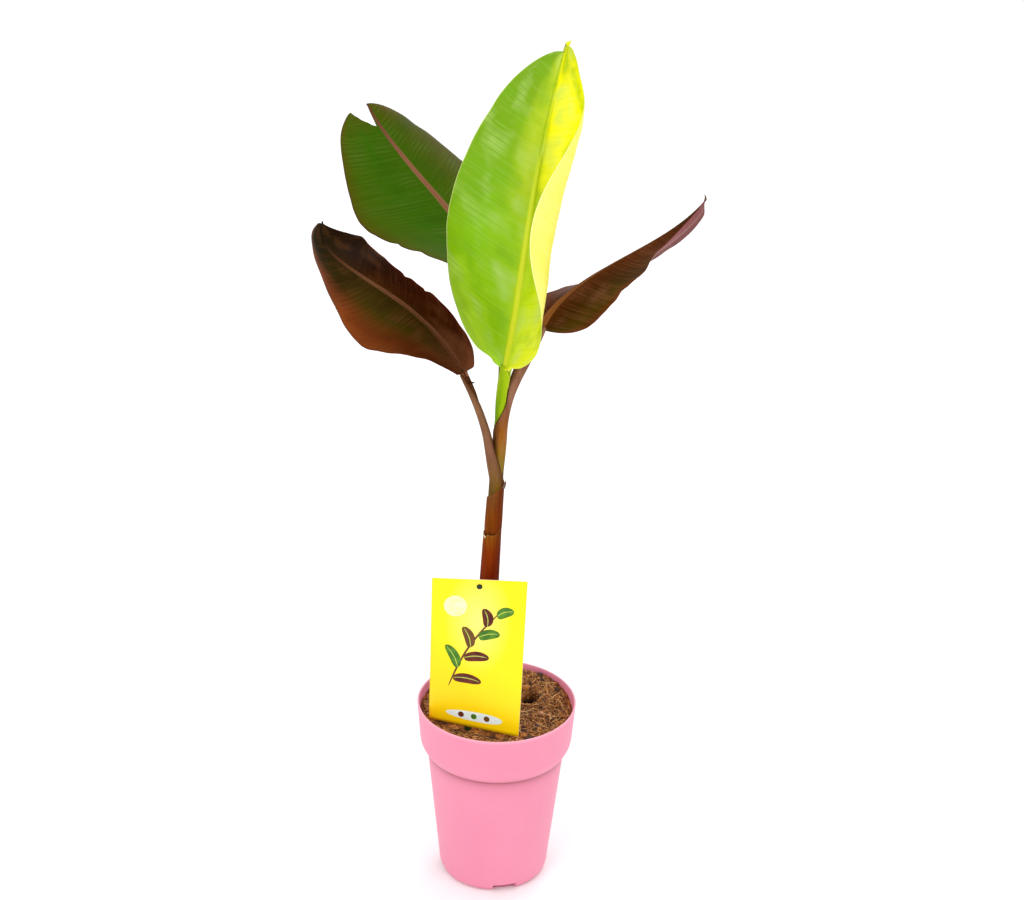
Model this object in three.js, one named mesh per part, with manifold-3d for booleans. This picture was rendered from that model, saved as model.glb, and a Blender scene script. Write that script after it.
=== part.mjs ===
// A young banana plant in a pink nursery pot: pot, soil, pot label, pseudostem with two cut leaf
// sheaths, and four leaves, each a petiole and a blade with its midrib.
// Millimetres, +Z up. The origin is the middle of the pot's flat underside; the plant is seen along +Y.
import * as THREE from "three";
import { mergeVertices } from "three/addons/utils/BufferGeometryUtils.js";
import Module from "manifold-3d";

// Driving dimensions

const GAP = 0.3;

const CURVE_POINTS = 3;
const POT = {
  height: 208,
  rimRadius: 85,
  lipFootRadius: 81.7,
  lipFootHeight: 164,
  bodyTopRadius: 74,
  bodyTopHeight: 151,
  lipEase: 6,
  baseRadius: 58,
  baseRound: 10,
  wall: 2,
  floor: 3,
  segments: 48,
};
const NOTCH = { count: 4, firstDegrees: -76, width: 25, height: 7, innerRadius: 44 };

const SOIL = {
  top: 197,
  stepRadius: 42,
  stepHeight: 8,
  dip: 1.4,
  dipLengths: [8, 7],
  flatRadius: 26,
  ringRadii: [64, 46, 28, 12, 0],
  segments: 36,
};

const LABEL = {
  width: 100,
  thickness: 1.2,
  foot: [-24, -39],
  footTurnDegrees: -19,
  topMiddle: [-20, -30, 368.5],
  topTurnDegrees: -2,
  hole: { radius: 3, belowTop: 8, sides: 16 },
  rows: 8,
  columns: 6,
  stake: { width: 20, depth: 60, overlap: 12 },
};

// The pseudostem's axis and radius from the soil to the fork, with a flare at the foot.
const STEM = {
  forkHeight: 520,
  axisX: [-15, -10, -3],
  axisY: [3, 0.5, 0],
  footRadius: 11,
  forkRadius: 6.2,
  flare: 4,
  flareReach: 9,
  flareRises: [0, 4, 9, 16, 26, 45],
  rings: 10,
  sides: 16,
};
const SHEATH_RINGS = 5;
const SHEATHS = [
  { name: "sheath_lower", from: 222, to: 401, wall: 1.1, rise: 5, riseTowards: 200 },
  { name: "sheath_upper", from: 408, to: 455, wall: 0.8, rise: 16, riseTowards: -20 },
];

// Each leaf: where the blade starts, its length, the midrib's headings and the upper face's directions
// along it, and for each half its width, where it is widest, how full its base and tip ends are, and its
// fold and curl in degrees as curves from base to tip. A petiole rises from its foot in the stem.
const LEAVES = {
  centre: {
    base: [-1, -2, 591],
    length: 324,
    headings: [[0.19, 0.07, 0.78], [-0.04, 0.08, 0.91], [0.32, 0.1, 1.2]],
    faces: [[-0.24, -0.98, 0.13], [0.19, -0.91, 0.03]],
    left: { width: 80, widestAt: 0.46, fullness: [2.25, 1.44], fold: [-4, -4, 15], curl: [-11, -14, 8] },
    right: {
      width: 79.4,
      widestAt: 0.54,
      fullness: [1.7, 1.1],
      fold: [54, 15, -28, 46, -75, -75],
      curl: [-20, 19, 265, 223, 143, 170],
    },
    petiole: { foot: [-3, 0, STEM.forkHeight + GAP], heading: [0, 0, 1], footRadius: 6.2, tipRadius: 5.4 },
  },
  back: {
    base: [-7, 46, 640],
    length: 257,
    headings: [[-0.15, 0.43, 0.56], [-0.77, 0.44, 0.38], [-0.41, 0.29, 0.63]],
    faces: [[0.45, -0.72, 0.56], [0.38, -0.85, 0.39]],
    left: { width: 84.2, widestAt: 0.49, fullness: [1.26, 1.89], fold: [27, -1, -10], curl: [25, -6, -19] },
    right: { width: 78.3, widestAt: 0.49, fullness: [2.4, 2.46], fold: [22, -5, -5], curl: [-5, -60, -58] },
    petiole: { foot: [-4.5, 1, 488], heading: [0, 0.12, 1], footRadius: 4.6, tipRadius: 4 },
    tear: { along: 0.9, beside: 2, openDegrees: 34, reach: 70 },
  },
  left: {
    base: [-38.4, -14, 585.7],
    length: 219.3,
    headings: [[-0.62, 0.22, 1.25], [-0.98, -0.14, 0.14], [0.09, -0.05, 0.29]],
    faces: [[0.13, -0.72, 0.64], [0.34, -0.82, -0.27]],
    left: { width: 58.3, widestAt: 0.49, fullness: [1.2, 1.1], fold: [38, 16, -45], curl: [34, 7, -93] },
    right: { width: 63.9, widestAt: 0.49, fullness: [1.64, 2.75], fold: [63, 72, 28], curl: [21, 40, 1] },
    petiole: { foot: [-5.5, -0.5, 469], heading: [-0.25, -0.12, 1], footRadius: 4.8, tipRadius: 4.2 },
  },
  right: {
    base: [35, 24, 625],
    length: 212,
    headings: [[0.4, 0.27, 0.82], [1.34, 0.35, 0.17], [0.57, 0.15, 0.72]],
    faces: [[-0.35, -0.47, 0.82], [-0.38, -0.48, 0.79]],
    left: { width: 42.8, widestAt: 0.4, fullness: [2.49, 2.29], fold: [11, -98, -75], curl: [10, -6, -5] },
    right: { width: 46, widestAt: 0.4, fullness: [2.95, 1.85], fold: [-25, 24, -38], curl: [-41, 14, 145] },
    petiole: { foot: [-3.5, 0.5, 481], heading: [0.1, 0.08, 1], footRadius: 4.8, tipRadius: 4 },
  },
};
const BLADE = {
  thicknessShare: 0.0105,
  rows: 16,
  columns: 4,
  rolledColumns: 10,
  rolledDegrees: 140,
  endShare: 0.004,
  steps: 120,
  ribTipRadius: 1.4,
  ribSink: 0.4,
  ribEnd: 0.96,
  ribRings: 10,
  ribSides: 8,
};
const PETIOLE = { rings: 12, sides: 10, handleShare: 0.38 };

const FINISHES = {
  pot: { color: 0xf58fae, roughness: 0.55 },
  soil: { color: 0x4a2f1c, roughness: 0.95 },
  label: { color: 0xf4e32a, roughness: 0.4 },
  stem: { color: 0x6b3318, roughness: 0.5 },
  sheath: { color: 0x74200f, roughness: 0.5 },
  petiole: { color: 0x7a5340, roughness: 0.5 },
  greenPetiole: { color: 0x7ab51d, roughness: 0.5 },
  centre: { color: 0x7ab51d, roughness: 0.4 },
  back: { color: 0x3f5a1e, roughness: 0.4 },
  left: { color: 0x4a2418, roughness: 0.4 },
  right: { color: 0x45221a, roughness: 0.4 },
};

// Solids: joining and cutting closed geometries

const wasm = await Module();
wasm.setup();

function solidOf(geometry) {
  const bare = geometry.clone();
  bare.deleteAttribute("normal");
  bare.deleteAttribute("uv");
  const merged = mergeVertices(bare, 1e-4);
  const triVerts = new Uint32Array(merged.index.array);
  const vertProperties = merged.attributes.position.array;
  return new wasm.Manifold(new wasm.Mesh({ numProp: 3, vertProperties, triVerts }));
}

function geometryOf(solid) {
  const mesh = solid.getMesh();
  const geometry = new THREE.BufferGeometry();
  geometry.setAttribute("position", new THREE.BufferAttribute(mesh.vertProperties, 3));
  geometry.setIndex(new THREE.BufferAttribute(mesh.triVerts, 1));
  return geometry;
}

// The largest body left after a cut, without its loose slivers.
function mainBody(solid) {
  const bodies = solid.decompose();
  return bodies.reduce((a, b) => (a.volume() > b.volume() ? a : b));
}

// Shapes: numbers along a leaf, rings, limbs and sheets

const radians = THREE.MathUtils.degToRad;
const vector = (values) => new THREE.Vector3(...values);

// The value at s of a Bezier curve with any number of control values.
function blend(values, s) {
  if (values.length === 1) return values[0];
  const nearer = values.slice(1).map((value, i) => THREE.MathUtils.lerp(values[i], value, s));
  return blend(nearer, s);
}

function closedGeometry(points, triangles) {
  const geometry = new THREE.BufferGeometry();
  geometry.setFromPoints(points);
  geometry.setIndex(triangles.flat());
  return geometry;
}

// A closed skin over equal rings of points that run anticlockwise about the way they are stacked.
function skinOver(rings) {
  const sides = rings[0].length;
  const last = rings.length - 1;
  const points = rings.flat();
  const triangles = [];
  for (let i = 0; i < last; i++) {
    for (let j = 0; j < sides; j++) {
      const k = (j + 1) % sides;
      const [a, b] = [i * sides + j, i * sides + k];
      triangles.push([a, b, b + sides], [a, b + sides, a + sides]);
    }
  }
  for (let j = 1; j < sides - 1; j++) {
    triangles.push([0, j + 1, j]);
    triangles.push([last * sides, last * sides + j, last * sides + j + 1]);
  }
  return closedGeometry(points, triangles);
}

function ring(centre, across, up, radius, sides) {
  return Array.from({ length: sides }, (_, j) => {
    const angle = (2 * Math.PI * j) / sides;
    return centre
      .clone()
      .addScaledVector(across, radius * Math.cos(angle))
      .addScaledVector(up, radius * Math.sin(angle));
  });
}

function limb(curve, radiusAt, rings, sides) {
  const frames = curve.computeFrenetFrames(rings, false);
  const stack = frames.tangents.map((_, i) => {
    const s = i / rings;
    return ring(curve.getPointAt(s), frames.normals[i], frames.binormals[i], radiusAt(s), sides);
  });
  return skinOver(stack);
}

// A closed sheet of even thickness about the surface pointAt(u, v), for u and v in rising lists.
function sheet(pointAt, us, vs, thickness) {
  const step = 1e-4;
  const sideOf = (sign) =>
    us.map((u) =>
      vs.map((v) => {
        const along = pointAt(u + step, v).sub(pointAt(u - step, v));
        const across = pointAt(u, v + step).sub(pointAt(u, v - step));
        const normal = across.cross(along).normalize();
        return pointAt(u, v).addScaledVector(normal, (sign * thickness) / 2);
      }),
    );
  const points = [sideOf(1), sideOf(-1)].flat(2);
  const rows = us.length;
  const columns = vs.length;
  const top = (i, j) => i * columns + j;
  const under = (i, j) => rows * columns + top(i, j);
  const triangles = [];
  const quad = (a, b, c, d) => triangles.push([a, b, c], [a, c, d]);
  for (let i = 0; i < rows - 1; i++) {
    for (let j = 0; j < columns - 1; j++) {
      quad(top(i, j), top(i, j + 1), top(i + 1, j + 1), top(i + 1, j));
      quad(under(i, j), under(i + 1, j), under(i + 1, j + 1), under(i, j + 1));
    }
    quad(top(i, 0), top(i + 1, 0), under(i + 1, 0), under(i, 0));
    quad(top(i, columns - 1), under(i, columns - 1), under(i + 1, columns - 1), top(i + 1, columns - 1));
  }
  for (let j = 0; j < columns - 1; j++) {
    quad(top(0, j), under(0, j), under(0, j + 1), top(0, j + 1));
    quad(top(rows - 1, j), top(rows - 1, j + 1), under(rows - 1, j + 1), under(rows - 1, j));
  }
  return closedGeometry(points, triangles);
}

function evenSteps(from, to, count) {
  return Array.from({ length: count + 1 }, (_, i) => from + ((to - from) * i) / count);
}

// Steps that crowd towards both ends.
function crowdedSteps(from, to, count) {
  return evenSteps(0, Math.PI, count).map((angle) => from + ((to - from) * (1 - Math.cos(angle))) / 2);
}

// Pot: a turned shell with a stepped lip and four drain notches in its base edge

function potWallProfile(path, inset) {
  const bodySlope = (POT.bodyTopRadius - POT.baseRadius) / POT.bodyTopHeight;
  const bodyRadius = (height) => POT.baseRadius + bodySlope * height - inset;
  const foot = inset > 0 ? POT.floor : 0;
  const round = POT.baseRound - inset;
  path.lineTo(bodyRadius(0) - round, foot);
  path.quadraticCurveTo(bodyRadius(foot), foot, bodyRadius(foot + round), foot + round);
  path.lineTo(POT.bodyTopRadius - inset, POT.bodyTopHeight + inset / 2);
  path.bezierCurveTo(
    POT.bodyTopRadius - inset,
    POT.bodyTopHeight + inset / 2 + POT.lipEase,
    POT.lipFootRadius - inset,
    POT.lipFootHeight + inset / 2 - POT.lipEase,
    POT.lipFootRadius - inset,
    POT.lipFootHeight + inset / 2,
  );
}

function potGeometry() {
  const outer = new THREE.Path().moveTo(0, 0);
  potWallProfile(outer, 0);
  const rimRound = POT.wall / 2;
  outer.lineTo(POT.rimRadius, POT.height - rimRound);
  outer.absarc(POT.rimRadius - rimRound, POT.height - rimRound, rimRound, 0, Math.PI, false);
  const inner = new THREE.Path().moveTo(0, POT.floor);
  potWallProfile(inner, POT.wall);
  const profile = [...outer.getPoints(CURVE_POINTS), ...inner.getPoints(CURVE_POINTS).reverse()];
  const shell = solidOf(new THREE.LatheGeometry(profile, POT.segments).rotateX(Math.PI / 2));
  const reach = POT.baseRadius + POT.baseRound - NOTCH.innerRadius;
  const notches = Array.from({ length: NOTCH.count }, (_, i) => {
    const angle = radians(NOTCH.firstDegrees) + (2 * Math.PI * i) / NOTCH.count;
    const block = new THREE.BoxGeometry(reach, NOTCH.width, 2 * NOTCH.height);
    return solidOf(block.translate(NOTCH.innerRadius + reach / 2, 0, 0).rotateZ(angle));
  });
  return geometryOf(notches.reduce((pot, notch) => pot.subtract(notch), shell));
}

// Soil: it fills the pot to below the rim, with shallow dips in its surface and a slot for the stake

function soilDip(x, y) {
  const [stemX, stemY] = [STEM.axisX[0], STEM.axisY[0]];
  const far = Math.hypot(x - stemX, y - stemY) - SOIL.flatRadius;
  const share = THREE.MathUtils.smoothstep(far, 0, SOIL.flatRadius);
  const [lengthX, lengthY] = SOIL.dipLengths;
  return share * SOIL.dip * (1 + Math.sin(x / lengthX) * Math.cos(y / lengthY));
}

function soilGeometry(stakeRoom) {
  const inset = POT.wall + GAP;
  const wall = new THREE.Path().moveTo(0, POT.floor + GAP);
  potWallProfile(wall, inset);
  const lowest = SOIL.stepHeight;
  const side = wall.getPoints(CURVE_POINTS).filter((point) => point.y > lowest);
  const lipShare = (SOIL.top - POT.lipFootHeight) / (POT.height - POT.lipFootHeight);
  const topRadius = THREE.MathUtils.lerp(POT.lipFootRadius, POT.rimRadius, lipShare) - inset;
  const bottom = [
    new THREE.Vector2(0, POT.floor + GAP),
    new THREE.Vector2(SOIL.stepRadius, POT.floor + GAP),
    new THREE.Vector2(SOIL.stepRadius, lowest),
    new THREE.Vector2(side[0].x - (side[0].y - lowest), lowest),
  ];
  const top = [topRadius, ...SOIL.ringRadii].map((radius) => new THREE.Vector2(radius, SOIL.top));
  const profile = [...bottom, ...side, ...top];
  const geometry = new THREE.LatheGeometry(profile, SOIL.segments).rotateX(Math.PI / 2);
  const place = geometry.attributes.position;
  for (let i = 0; i < place.count; i++) {
    const [x, y, z] = [place.getX(i), place.getY(i), place.getZ(i)];
    const inside = Math.hypot(x, y) < topRadius - 1;
    if (inside && Math.abs(z - SOIL.top) < 1e-3) place.setZ(i, z - soilDip(x, y));
  }
  return geometryOf(solidOf(geometry).subtract(solidOf(stakeRoom)));
}

// Label: a card twisted between its turned foot and its top edge, with a hole and a pointed stake

function labelPoint(u, v) {
  const edge = (middle, turnDegrees) =>
    vector(middle).addScaledVector(
      new THREE.Vector3(Math.cos(radians(turnDegrees)), Math.sin(radians(turnDegrees)), 0),
      (u - 0.5) * LABEL.width,
    );
  const foot = edge([...LABEL.foot, SOIL.top + GAP], LABEL.footTurnDegrees);
  const top = edge(LABEL.topMiddle, LABEL.topTurnDegrees);
  return foot.lerp(top, v);
}

function stakeGeometry(room) {
  const { width, depth, overlap } = LABEL.stake;
  const half = width / 2 + room;
  const outline = new THREE.Shape();
  outline.moveTo(-half, overlap);
  outline.lineTo(-half, -depth / 2);
  outline.lineTo(0, -depth - room);
  outline.lineTo(half, -depth / 2);
  outline.lineTo(half, overlap);
  const thickness = LABEL.thickness + 2 * room;
  const stake = new THREE.ExtrudeGeometry(outline, { depth: thickness, bevelEnabled: false });
  stake.translate(0, 0, -thickness / 2).rotateX(Math.PI / 2).rotateZ(radians(LABEL.footTurnDegrees));
  return stake.translate(...LABEL.foot, SOIL.top + GAP);
}

function labelGeometry() {
  const rows = evenSteps(0, 1, LABEL.rows);
  const columns = evenSteps(0, 1, LABEL.columns);
  const card = sheet((v, u) => labelPoint(u, v), rows, columns, LABEL.thickness);
  const height = LABEL.topMiddle[2] - SOIL.top;
  const { radius, belowTop, sides } = LABEL.hole;
  const holeMiddle = labelPoint(0.5, 1 - belowTop / height);
  const punch = new THREE.CylinderGeometry(radius, radius, LABEL.width / 5, sides);
  const hole = solidOf(punch.translate(holeMiddle.x, holeMiddle.y, holeMiddle.z));
  return geometryOf(solidOf(card).add(solidOf(stakeGeometry(0))).subtract(hole));
}

// Stem: level rings from the flat cut on the soil to the fork, and cut sheaths wrapped round it

function stemShare(height) {
  return (height - SOIL.top) / (STEM.forkHeight - SOIL.top);
}

function stemCentre(height) {
  const s = stemShare(height);
  return new THREE.Vector3(blend(STEM.axisX, s), blend(STEM.axisY, s), height);
}

function stemRing(height, extra) {
  const flare = STEM.flare * Math.exp((SOIL.top - height) / STEM.flareReach);
  const radius = THREE.MathUtils.lerp(STEM.footRadius, STEM.forkRadius, stemShare(height)) + flare + extra;
  const [across, up] = [new THREE.Vector3(1, 0, 0), new THREE.Vector3(0, 1, 0)];
  return ring(stemCentre(height), across, up, radius, STEM.sides);
}

function stemGeometry(extra, top) {
  const foot = SOIL.top + GAP;
  const flareHeights = STEM.flareRises.map((rise) => foot + rise);
  const heights = [...flareHeights, ...evenSteps(flareHeights.at(-1), top, STEM.rings).slice(1)];
  return skinOver(heights.map((height) => stemRing(height, extra)));
}

// A cut sheath's top edge rises across the stem towards one side.
function sheathGeometry({ from, to, wall, rise, riseTowards }) {
  const heights = evenSteps(from, to, SHEATH_RINGS);
  const outside = heights.map((height) => stemRing(height, GAP + wall));
  const inside = [from - rise, ...heights, to + rise].map((height) => stemRing(height, GAP));
  const centre = stemCentre(to);
  const towards = new THREE.Vector2(Math.cos(radians(riseTowards)), Math.sin(radians(riseTowards)));
  const reach = outside.at(-1)[0].distanceTo(centre);
  for (const point of outside.at(-1)) {
    const across = towards.x * (point.x - centre.x) + towards.y * (point.y - centre.y);
    point.z += (0.5 * rise * across) / reach;
  }
  return geometryOf(solidOf(skinOver(outside)).subtract(solidOf(skinOver(inside))));
}

// Leaves: a midrib that follows its headings, with two folded and curled halves

function midribOf(leaf) {
  const heading = new THREE.QuadraticBezierCurve3(...leaf.headings.map(vector));
  const stride = leaf.length / BLADE.steps;
  const places = [vector(leaf.base)];
  for (let i = 0; i < BLADE.steps; i++) {
    const direction = heading.getPoint((i + 0.5) / BLADE.steps).normalize();
    places.push(places[i].clone().addScaledVector(direction, stride));
  }
  return (s) => {
    const at = THREE.MathUtils.clamp(s, 0, 1) * BLADE.steps;
    const i = Math.min(Math.floor(at), BLADE.steps - 1);
    const middle = places[i].clone().lerp(places[i + 1], at - i);
    const along = heading.getPoint(s).normalize();
    const face = vector(leaf.faces[0]).lerp(vector(leaf.faces[1]), s);
    const up = face.addScaledVector(along, -face.dot(along)).normalize();
    const right = along.clone().cross(up);
    return { middle, along, up, right };
  };
}

function halfWidthAt(half, s) {
  const widest = half.widestAt;
  const [baseFullness, tipFullness] = half.fullness;
  const [share, fullness] =
    s < widest ? [(widest - s) / widest, baseFullness] : [(s - widest) / (1 - widest), tipFullness];
  return half.width * Math.sqrt(Math.max(1 - share ** fullness, 0));
}

// A point of the blade: s runs along the midrib, t from -1 at the left margin to 1 at the right one.
function bladePoint(leaf, frameAt, s, t) {
  const { middle, up, right } = frameAt(s);
  const half = t < 0 ? leaf.left : leaf.right;
  const fold = radians(blend(half.fold, s));
  const bend = radians(blend(half.curl, s)) * Math.abs(t);
  const width = halfWidthAt(half, s) * Math.abs(t);
  const chord = Math.abs(bend) < 1e-3 ? width : (width * 2 * Math.sin(bend / 2)) / bend;
  const angle = fold + bend / 2;
  return middle
    .addScaledVector(right, Math.sign(t) * chord * Math.cos(angle))
    .addScaledVector(up, chord * Math.sin(angle));
}

function ribRadiusAt(leaf, s) {
  return THREE.MathUtils.lerp(leaf.petiole.tipRadius, BLADE.ribTipRadius, s);
}

// The midrib stands out under the blade, so its middle is sunk below the upper face.
function ribCentre(leaf, frameAt, s) {
  const { middle, up } = frameAt(s);
  return middle.addScaledVector(up, -BLADE.ribSink * ribRadiusAt(leaf, s));
}

function ribGeometry(leaf, frameAt) {
  const rings = evenSteps(0, BLADE.ribEnd, BLADE.ribRings).map((s) => {
    const { up, right } = frameAt(s);
    return ring(ribCentre(leaf, frameAt, s), up, right, ribRadiusAt(leaf, s), BLADE.ribSides);
  });
  return skinOver(rings);
}

// The torn tip: a wedge taken out between the midrib and the left half's last lobe.
function tearGeometry(leaf, frameAt) {
  const { along, beside, openDegrees, reach } = leaf.tear;
  const open = radians(openDegrees);
  const outline = new THREE.Shape();
  outline.moveTo(0, 0);
  outline.lineTo(reach * Math.sin(open), reach * Math.cos(open));
  outline.lineTo(0, reach);
  const wedge = new THREE.ExtrudeGeometry(outline, { depth: reach, bevelEnabled: false });
  wedge.translate(0, 0, -reach / 2);
  const frame = frameAt(along);
  const left = frame.right.clone().negate();
  const place = frame.middle.addScaledVector(left, beside);
  const turn = new THREE.Matrix4().makeBasis(left, frame.along, frame.up.clone().negate());
  return wedge.applyMatrix4(turn.setPosition(place));
}

function bladeColumns(half) {
  const rolled = Math.max(...half.curl.map(Math.abs)) > BLADE.rolledDegrees;
  return rolled ? BLADE.rolledColumns : BLADE.columns;
}

function bladeGeometry(leaf) {
  const frameAt = midribOf(leaf);
  const left = evenSteps(-1, 0, bladeColumns(leaf.left));
  const right = evenSteps(0, 1, bladeColumns(leaf.right)).slice(1);
  const along = crowdedSteps(BLADE.endShare, 1 - BLADE.endShare, BLADE.rows);
  const surface = (s, t) => bladePoint(leaf, frameAt, s, t);
  const blade = solidOf(sheet(surface, along, [...left, ...right], leaf.length * BLADE.thicknessShare));
  const whole = blade.add(solidOf(ribGeometry(leaf, frameAt)));
  return geometryOf(leaf.tear ? mainBody(whole.subtract(solidOf(tearGeometry(leaf, frameAt)))) : whole);
}

function petioleGeometry(leaf, extra) {
  const frameAt = midribOf(leaf);
  const { along } = frameAt(0);
  const { foot, heading, footRadius, tipRadius } = leaf.petiole;
  const start = vector(foot);
  const end = ribCentre(leaf, frameAt, 0).addScaledVector(along, -GAP);
  const handle = PETIOLE.handleShare * start.distanceTo(end);
  const curve = new THREE.CubicBezierCurve3(
    start,
    start.clone().addScaledVector(vector(heading).normalize(), handle),
    end.clone().addScaledVector(along, -handle),
    end,
  );
  const radiusAt = (s) => THREE.MathUtils.lerp(footRadius, tipRadius, s) + extra;
  return limb(curve, radiusAt, PETIOLE.rings, PETIOLE.sides);
}

// The plant: inner petioles stay whole, and each later one is cut clear of the stem and of those before it

const plant = new THREE.Group();

function addPart(name, geometry, finish) {
  const mesh = new THREE.Mesh(geometry, new THREE.MeshStandardMaterial({ ...finish, metalness: 0 }));
  mesh.name = name;
  plant.add(mesh);
}

addPart("pot", potGeometry(), FINISHES.pot);
addPart("soil", soilGeometry(stakeGeometry(GAP)), FINISHES.soil);
addPart("label", labelGeometry(), FINISHES.label);
addPart("pseudostem", stemGeometry(0, STEM.forkHeight), FINISHES.stem);
for (const sheath of SHEATHS) {
  addPart(sheath.name, sheathGeometry(sheath), FINISHES.sheath);
}

const taken = [solidOf(stemGeometry(GAP, STEM.forkHeight + 4 * GAP))];
for (const [name, leaf] of Object.entries(LEAVES)) {
  const whole = solidOf(petioleGeometry(leaf, 0));
  const inner = name === "centre";
  const petiole = inner ? whole : mainBody(taken.reduce((piece, other) => piece.subtract(other), whole));
  taken.push(solidOf(petioleGeometry(leaf, GAP)));
  addPart("petiole_" + name, geometryOf(petiole), inner ? FINISHES.greenPetiole : FINISHES.petiole);
  addPart("blade_" + name, bladeGeometry(leaf), FINISHES[name]);
}

export default plant;
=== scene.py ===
"""Looks of a young banana plant in a pink nursery pot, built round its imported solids."""

from math import asin, comb, cos, degrees, dist, pi, radians, sin, sqrt
from types import SimpleNamespace as Sizes

import bpy
import numpy as np
from mathutils import Matrix, Vector


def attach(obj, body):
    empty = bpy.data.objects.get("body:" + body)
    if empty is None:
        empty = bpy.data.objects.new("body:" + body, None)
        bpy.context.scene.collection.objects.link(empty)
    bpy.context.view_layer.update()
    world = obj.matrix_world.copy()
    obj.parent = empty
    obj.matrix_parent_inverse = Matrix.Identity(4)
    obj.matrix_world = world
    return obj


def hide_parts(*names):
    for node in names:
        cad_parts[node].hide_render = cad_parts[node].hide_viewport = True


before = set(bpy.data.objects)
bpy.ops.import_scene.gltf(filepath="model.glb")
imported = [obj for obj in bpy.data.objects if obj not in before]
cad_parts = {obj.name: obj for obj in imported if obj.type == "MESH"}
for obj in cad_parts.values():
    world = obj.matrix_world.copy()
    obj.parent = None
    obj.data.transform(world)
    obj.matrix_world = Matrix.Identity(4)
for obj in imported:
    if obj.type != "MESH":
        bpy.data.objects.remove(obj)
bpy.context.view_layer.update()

# Sizes in millimetres and angles in degrees
# Lumps are (depth, run, seed), chips (x, y, size, material), sections of the stake (reach, half width),
# nicks in a leaf (place, span, depth), and the keys of a stalk (height, value).
MM = 0.001
CIRCLE = 2 * pi
BODY = "root"
CAMERA = Sizes(place=(9.5, -1846, 1330), pitch=24.17, roll=1.48, lens=70.3125, sensor=36)
POT = Sizes(
    height=208, rim=85, lip_foot=81.7, lip_foot_z=164, body_top=74, body_top_z=151, base=58, base_round=10,
    wall=2, floor=3, hub=20, ledge=1.3, step_shift=3, step_out=(2.6, 4.5), step_in=(0.3, 3.5), lip_start=2,
    # The crease sizes place painted shade under the lip, and the rim sizes a painted highlight along the
    # rim.
    crease_fade=6, crease_above=1.2, rim_fade=1.2, rim_pale=1.6, segments=160,
)
NOTCH = Sizes(count=4, first=-76, width=25, height=9, inner=50, edge=0.8)
SOIL = Sizes(
    top=196, radius=81.8, rings=74, segments=220, wall=((78.5, 174), (70.5, 150), (62, 60)),
    lumps=((1.5, 15, 3), (1.2, 6, 4), (0.8, 2.4, 5)), heap=7, heap_from=-5, heap_run=75, dark_run=4,
    sunk=1, sunk_from=70, sunk_run=12, hollow=5, hollow_place=-3, hollow_width=9, hollow_end=8,
)
PIT = Sizes(x=35, y=23, long=8, wide=10, depth=16, reach=1.1, uneven=0.7, lump=5, seed=6)
CLEARANCE = Sizes(card=2, stem=14.5, wall=1, pit=0.8)
FIBRES = Sizes(
    seed=71, count=5200, inset=2, bend=0.5, length=(3.2, 3.4), shortest=4, arch=(1.3, 0.7), above=0.1,
    thickness=(0.15, 0.42), taper=(0.5, 1, 1, 1, 0.4), sides=3, kinds=(0.4, 0.38, 0.22),
)
CRUMBS = Sizes(
    seed=72, count=1900, inset=4, size=(2.2, 0.42), smallest=0.5, above=0.15, kinds=(0.36, 0.42, 0.22),
    stretch=(0.5, 1.4), flatness=(1, 1, 0.7), wobble=(0.75, 1.2),
)
CHIPS = (
    (48, -10, 4.6, 3), (65, 37, 3.6, 2), (39, -19, 4, 1), (37, 37, 3.8, 1), (72, 22, 3, 2),
    (44, -35, 3.2, 2),
)
LABEL = Sizes(
    width=98.3, thickness=0.9, foot=(-23.5, -39.5, 197.2), foot_turn=-19, foot_width=101,
    top=(-20, -30, 368.5), top_turn=-2, hole=3, hole_below=8,
)
CARD_HEIGHT = dist(LABEL.foot, LABEL.top)
HOLE_UP = 1 - LABEL.hole_below / CARD_HEIGHT
STAKE = Sizes(
    behind=2.2, foot_across=0.43, half_depth=1.2, sides=16, knob_length=3.4, knob_radius=2.85,
    sections=(
        (-6, 2), (-5, 3.4), (0, 3.6), (60, 3.2), (120, 3.2), (CARD_HEIGHT - 8, 3.4), (CARD_HEIGHT, 3.6),
        (CARD_HEIGHT + 40, 2.8), (CARD_HEIGHT + 52, 0.6),
    ),
)
SPRIG = Sizes(
    x=20, y=44, length=112, angle=-30, across=0.5, up=0.866, bow=-7, leaf_kinds=(1, 2, 1, 3, 2, 1, 2),
)
STEM = Sizes(
    ground=197, low=197.3, core_top=505, fork=520, axis_x=(-15, -11.5, -3), axis_y=(3, 0.5, 0),
    rows=250, sides=96, radius_low=11, radius_fork=6.2, flare=4, flare_fade=9, inset=0.35, scars=(205, 213),
)
SHEATH = Sizes(rows=70, columns=120, lap=1.04, lining=0.7, tuck=0.4, tuck_run=24)
STALK = Sizes(
    outer=56, inner=36, limb_rows=90, sheath_rows=26, handle=0.38, sunk=0.4, overlap=2.5,
    wall=(0.9, 0.5), lip=0.07,
)
BLADE = Sizes(
    thickness=0.9, margin=0.3, rib_tip=1.2, crowding=0.25, uneven=0.012, swell_run=46, ripple_run=13,
    keel=1.25, vein_slant=0.33, vein_wander=1.2, wander_run=30, strength_run=40,
)
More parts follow.
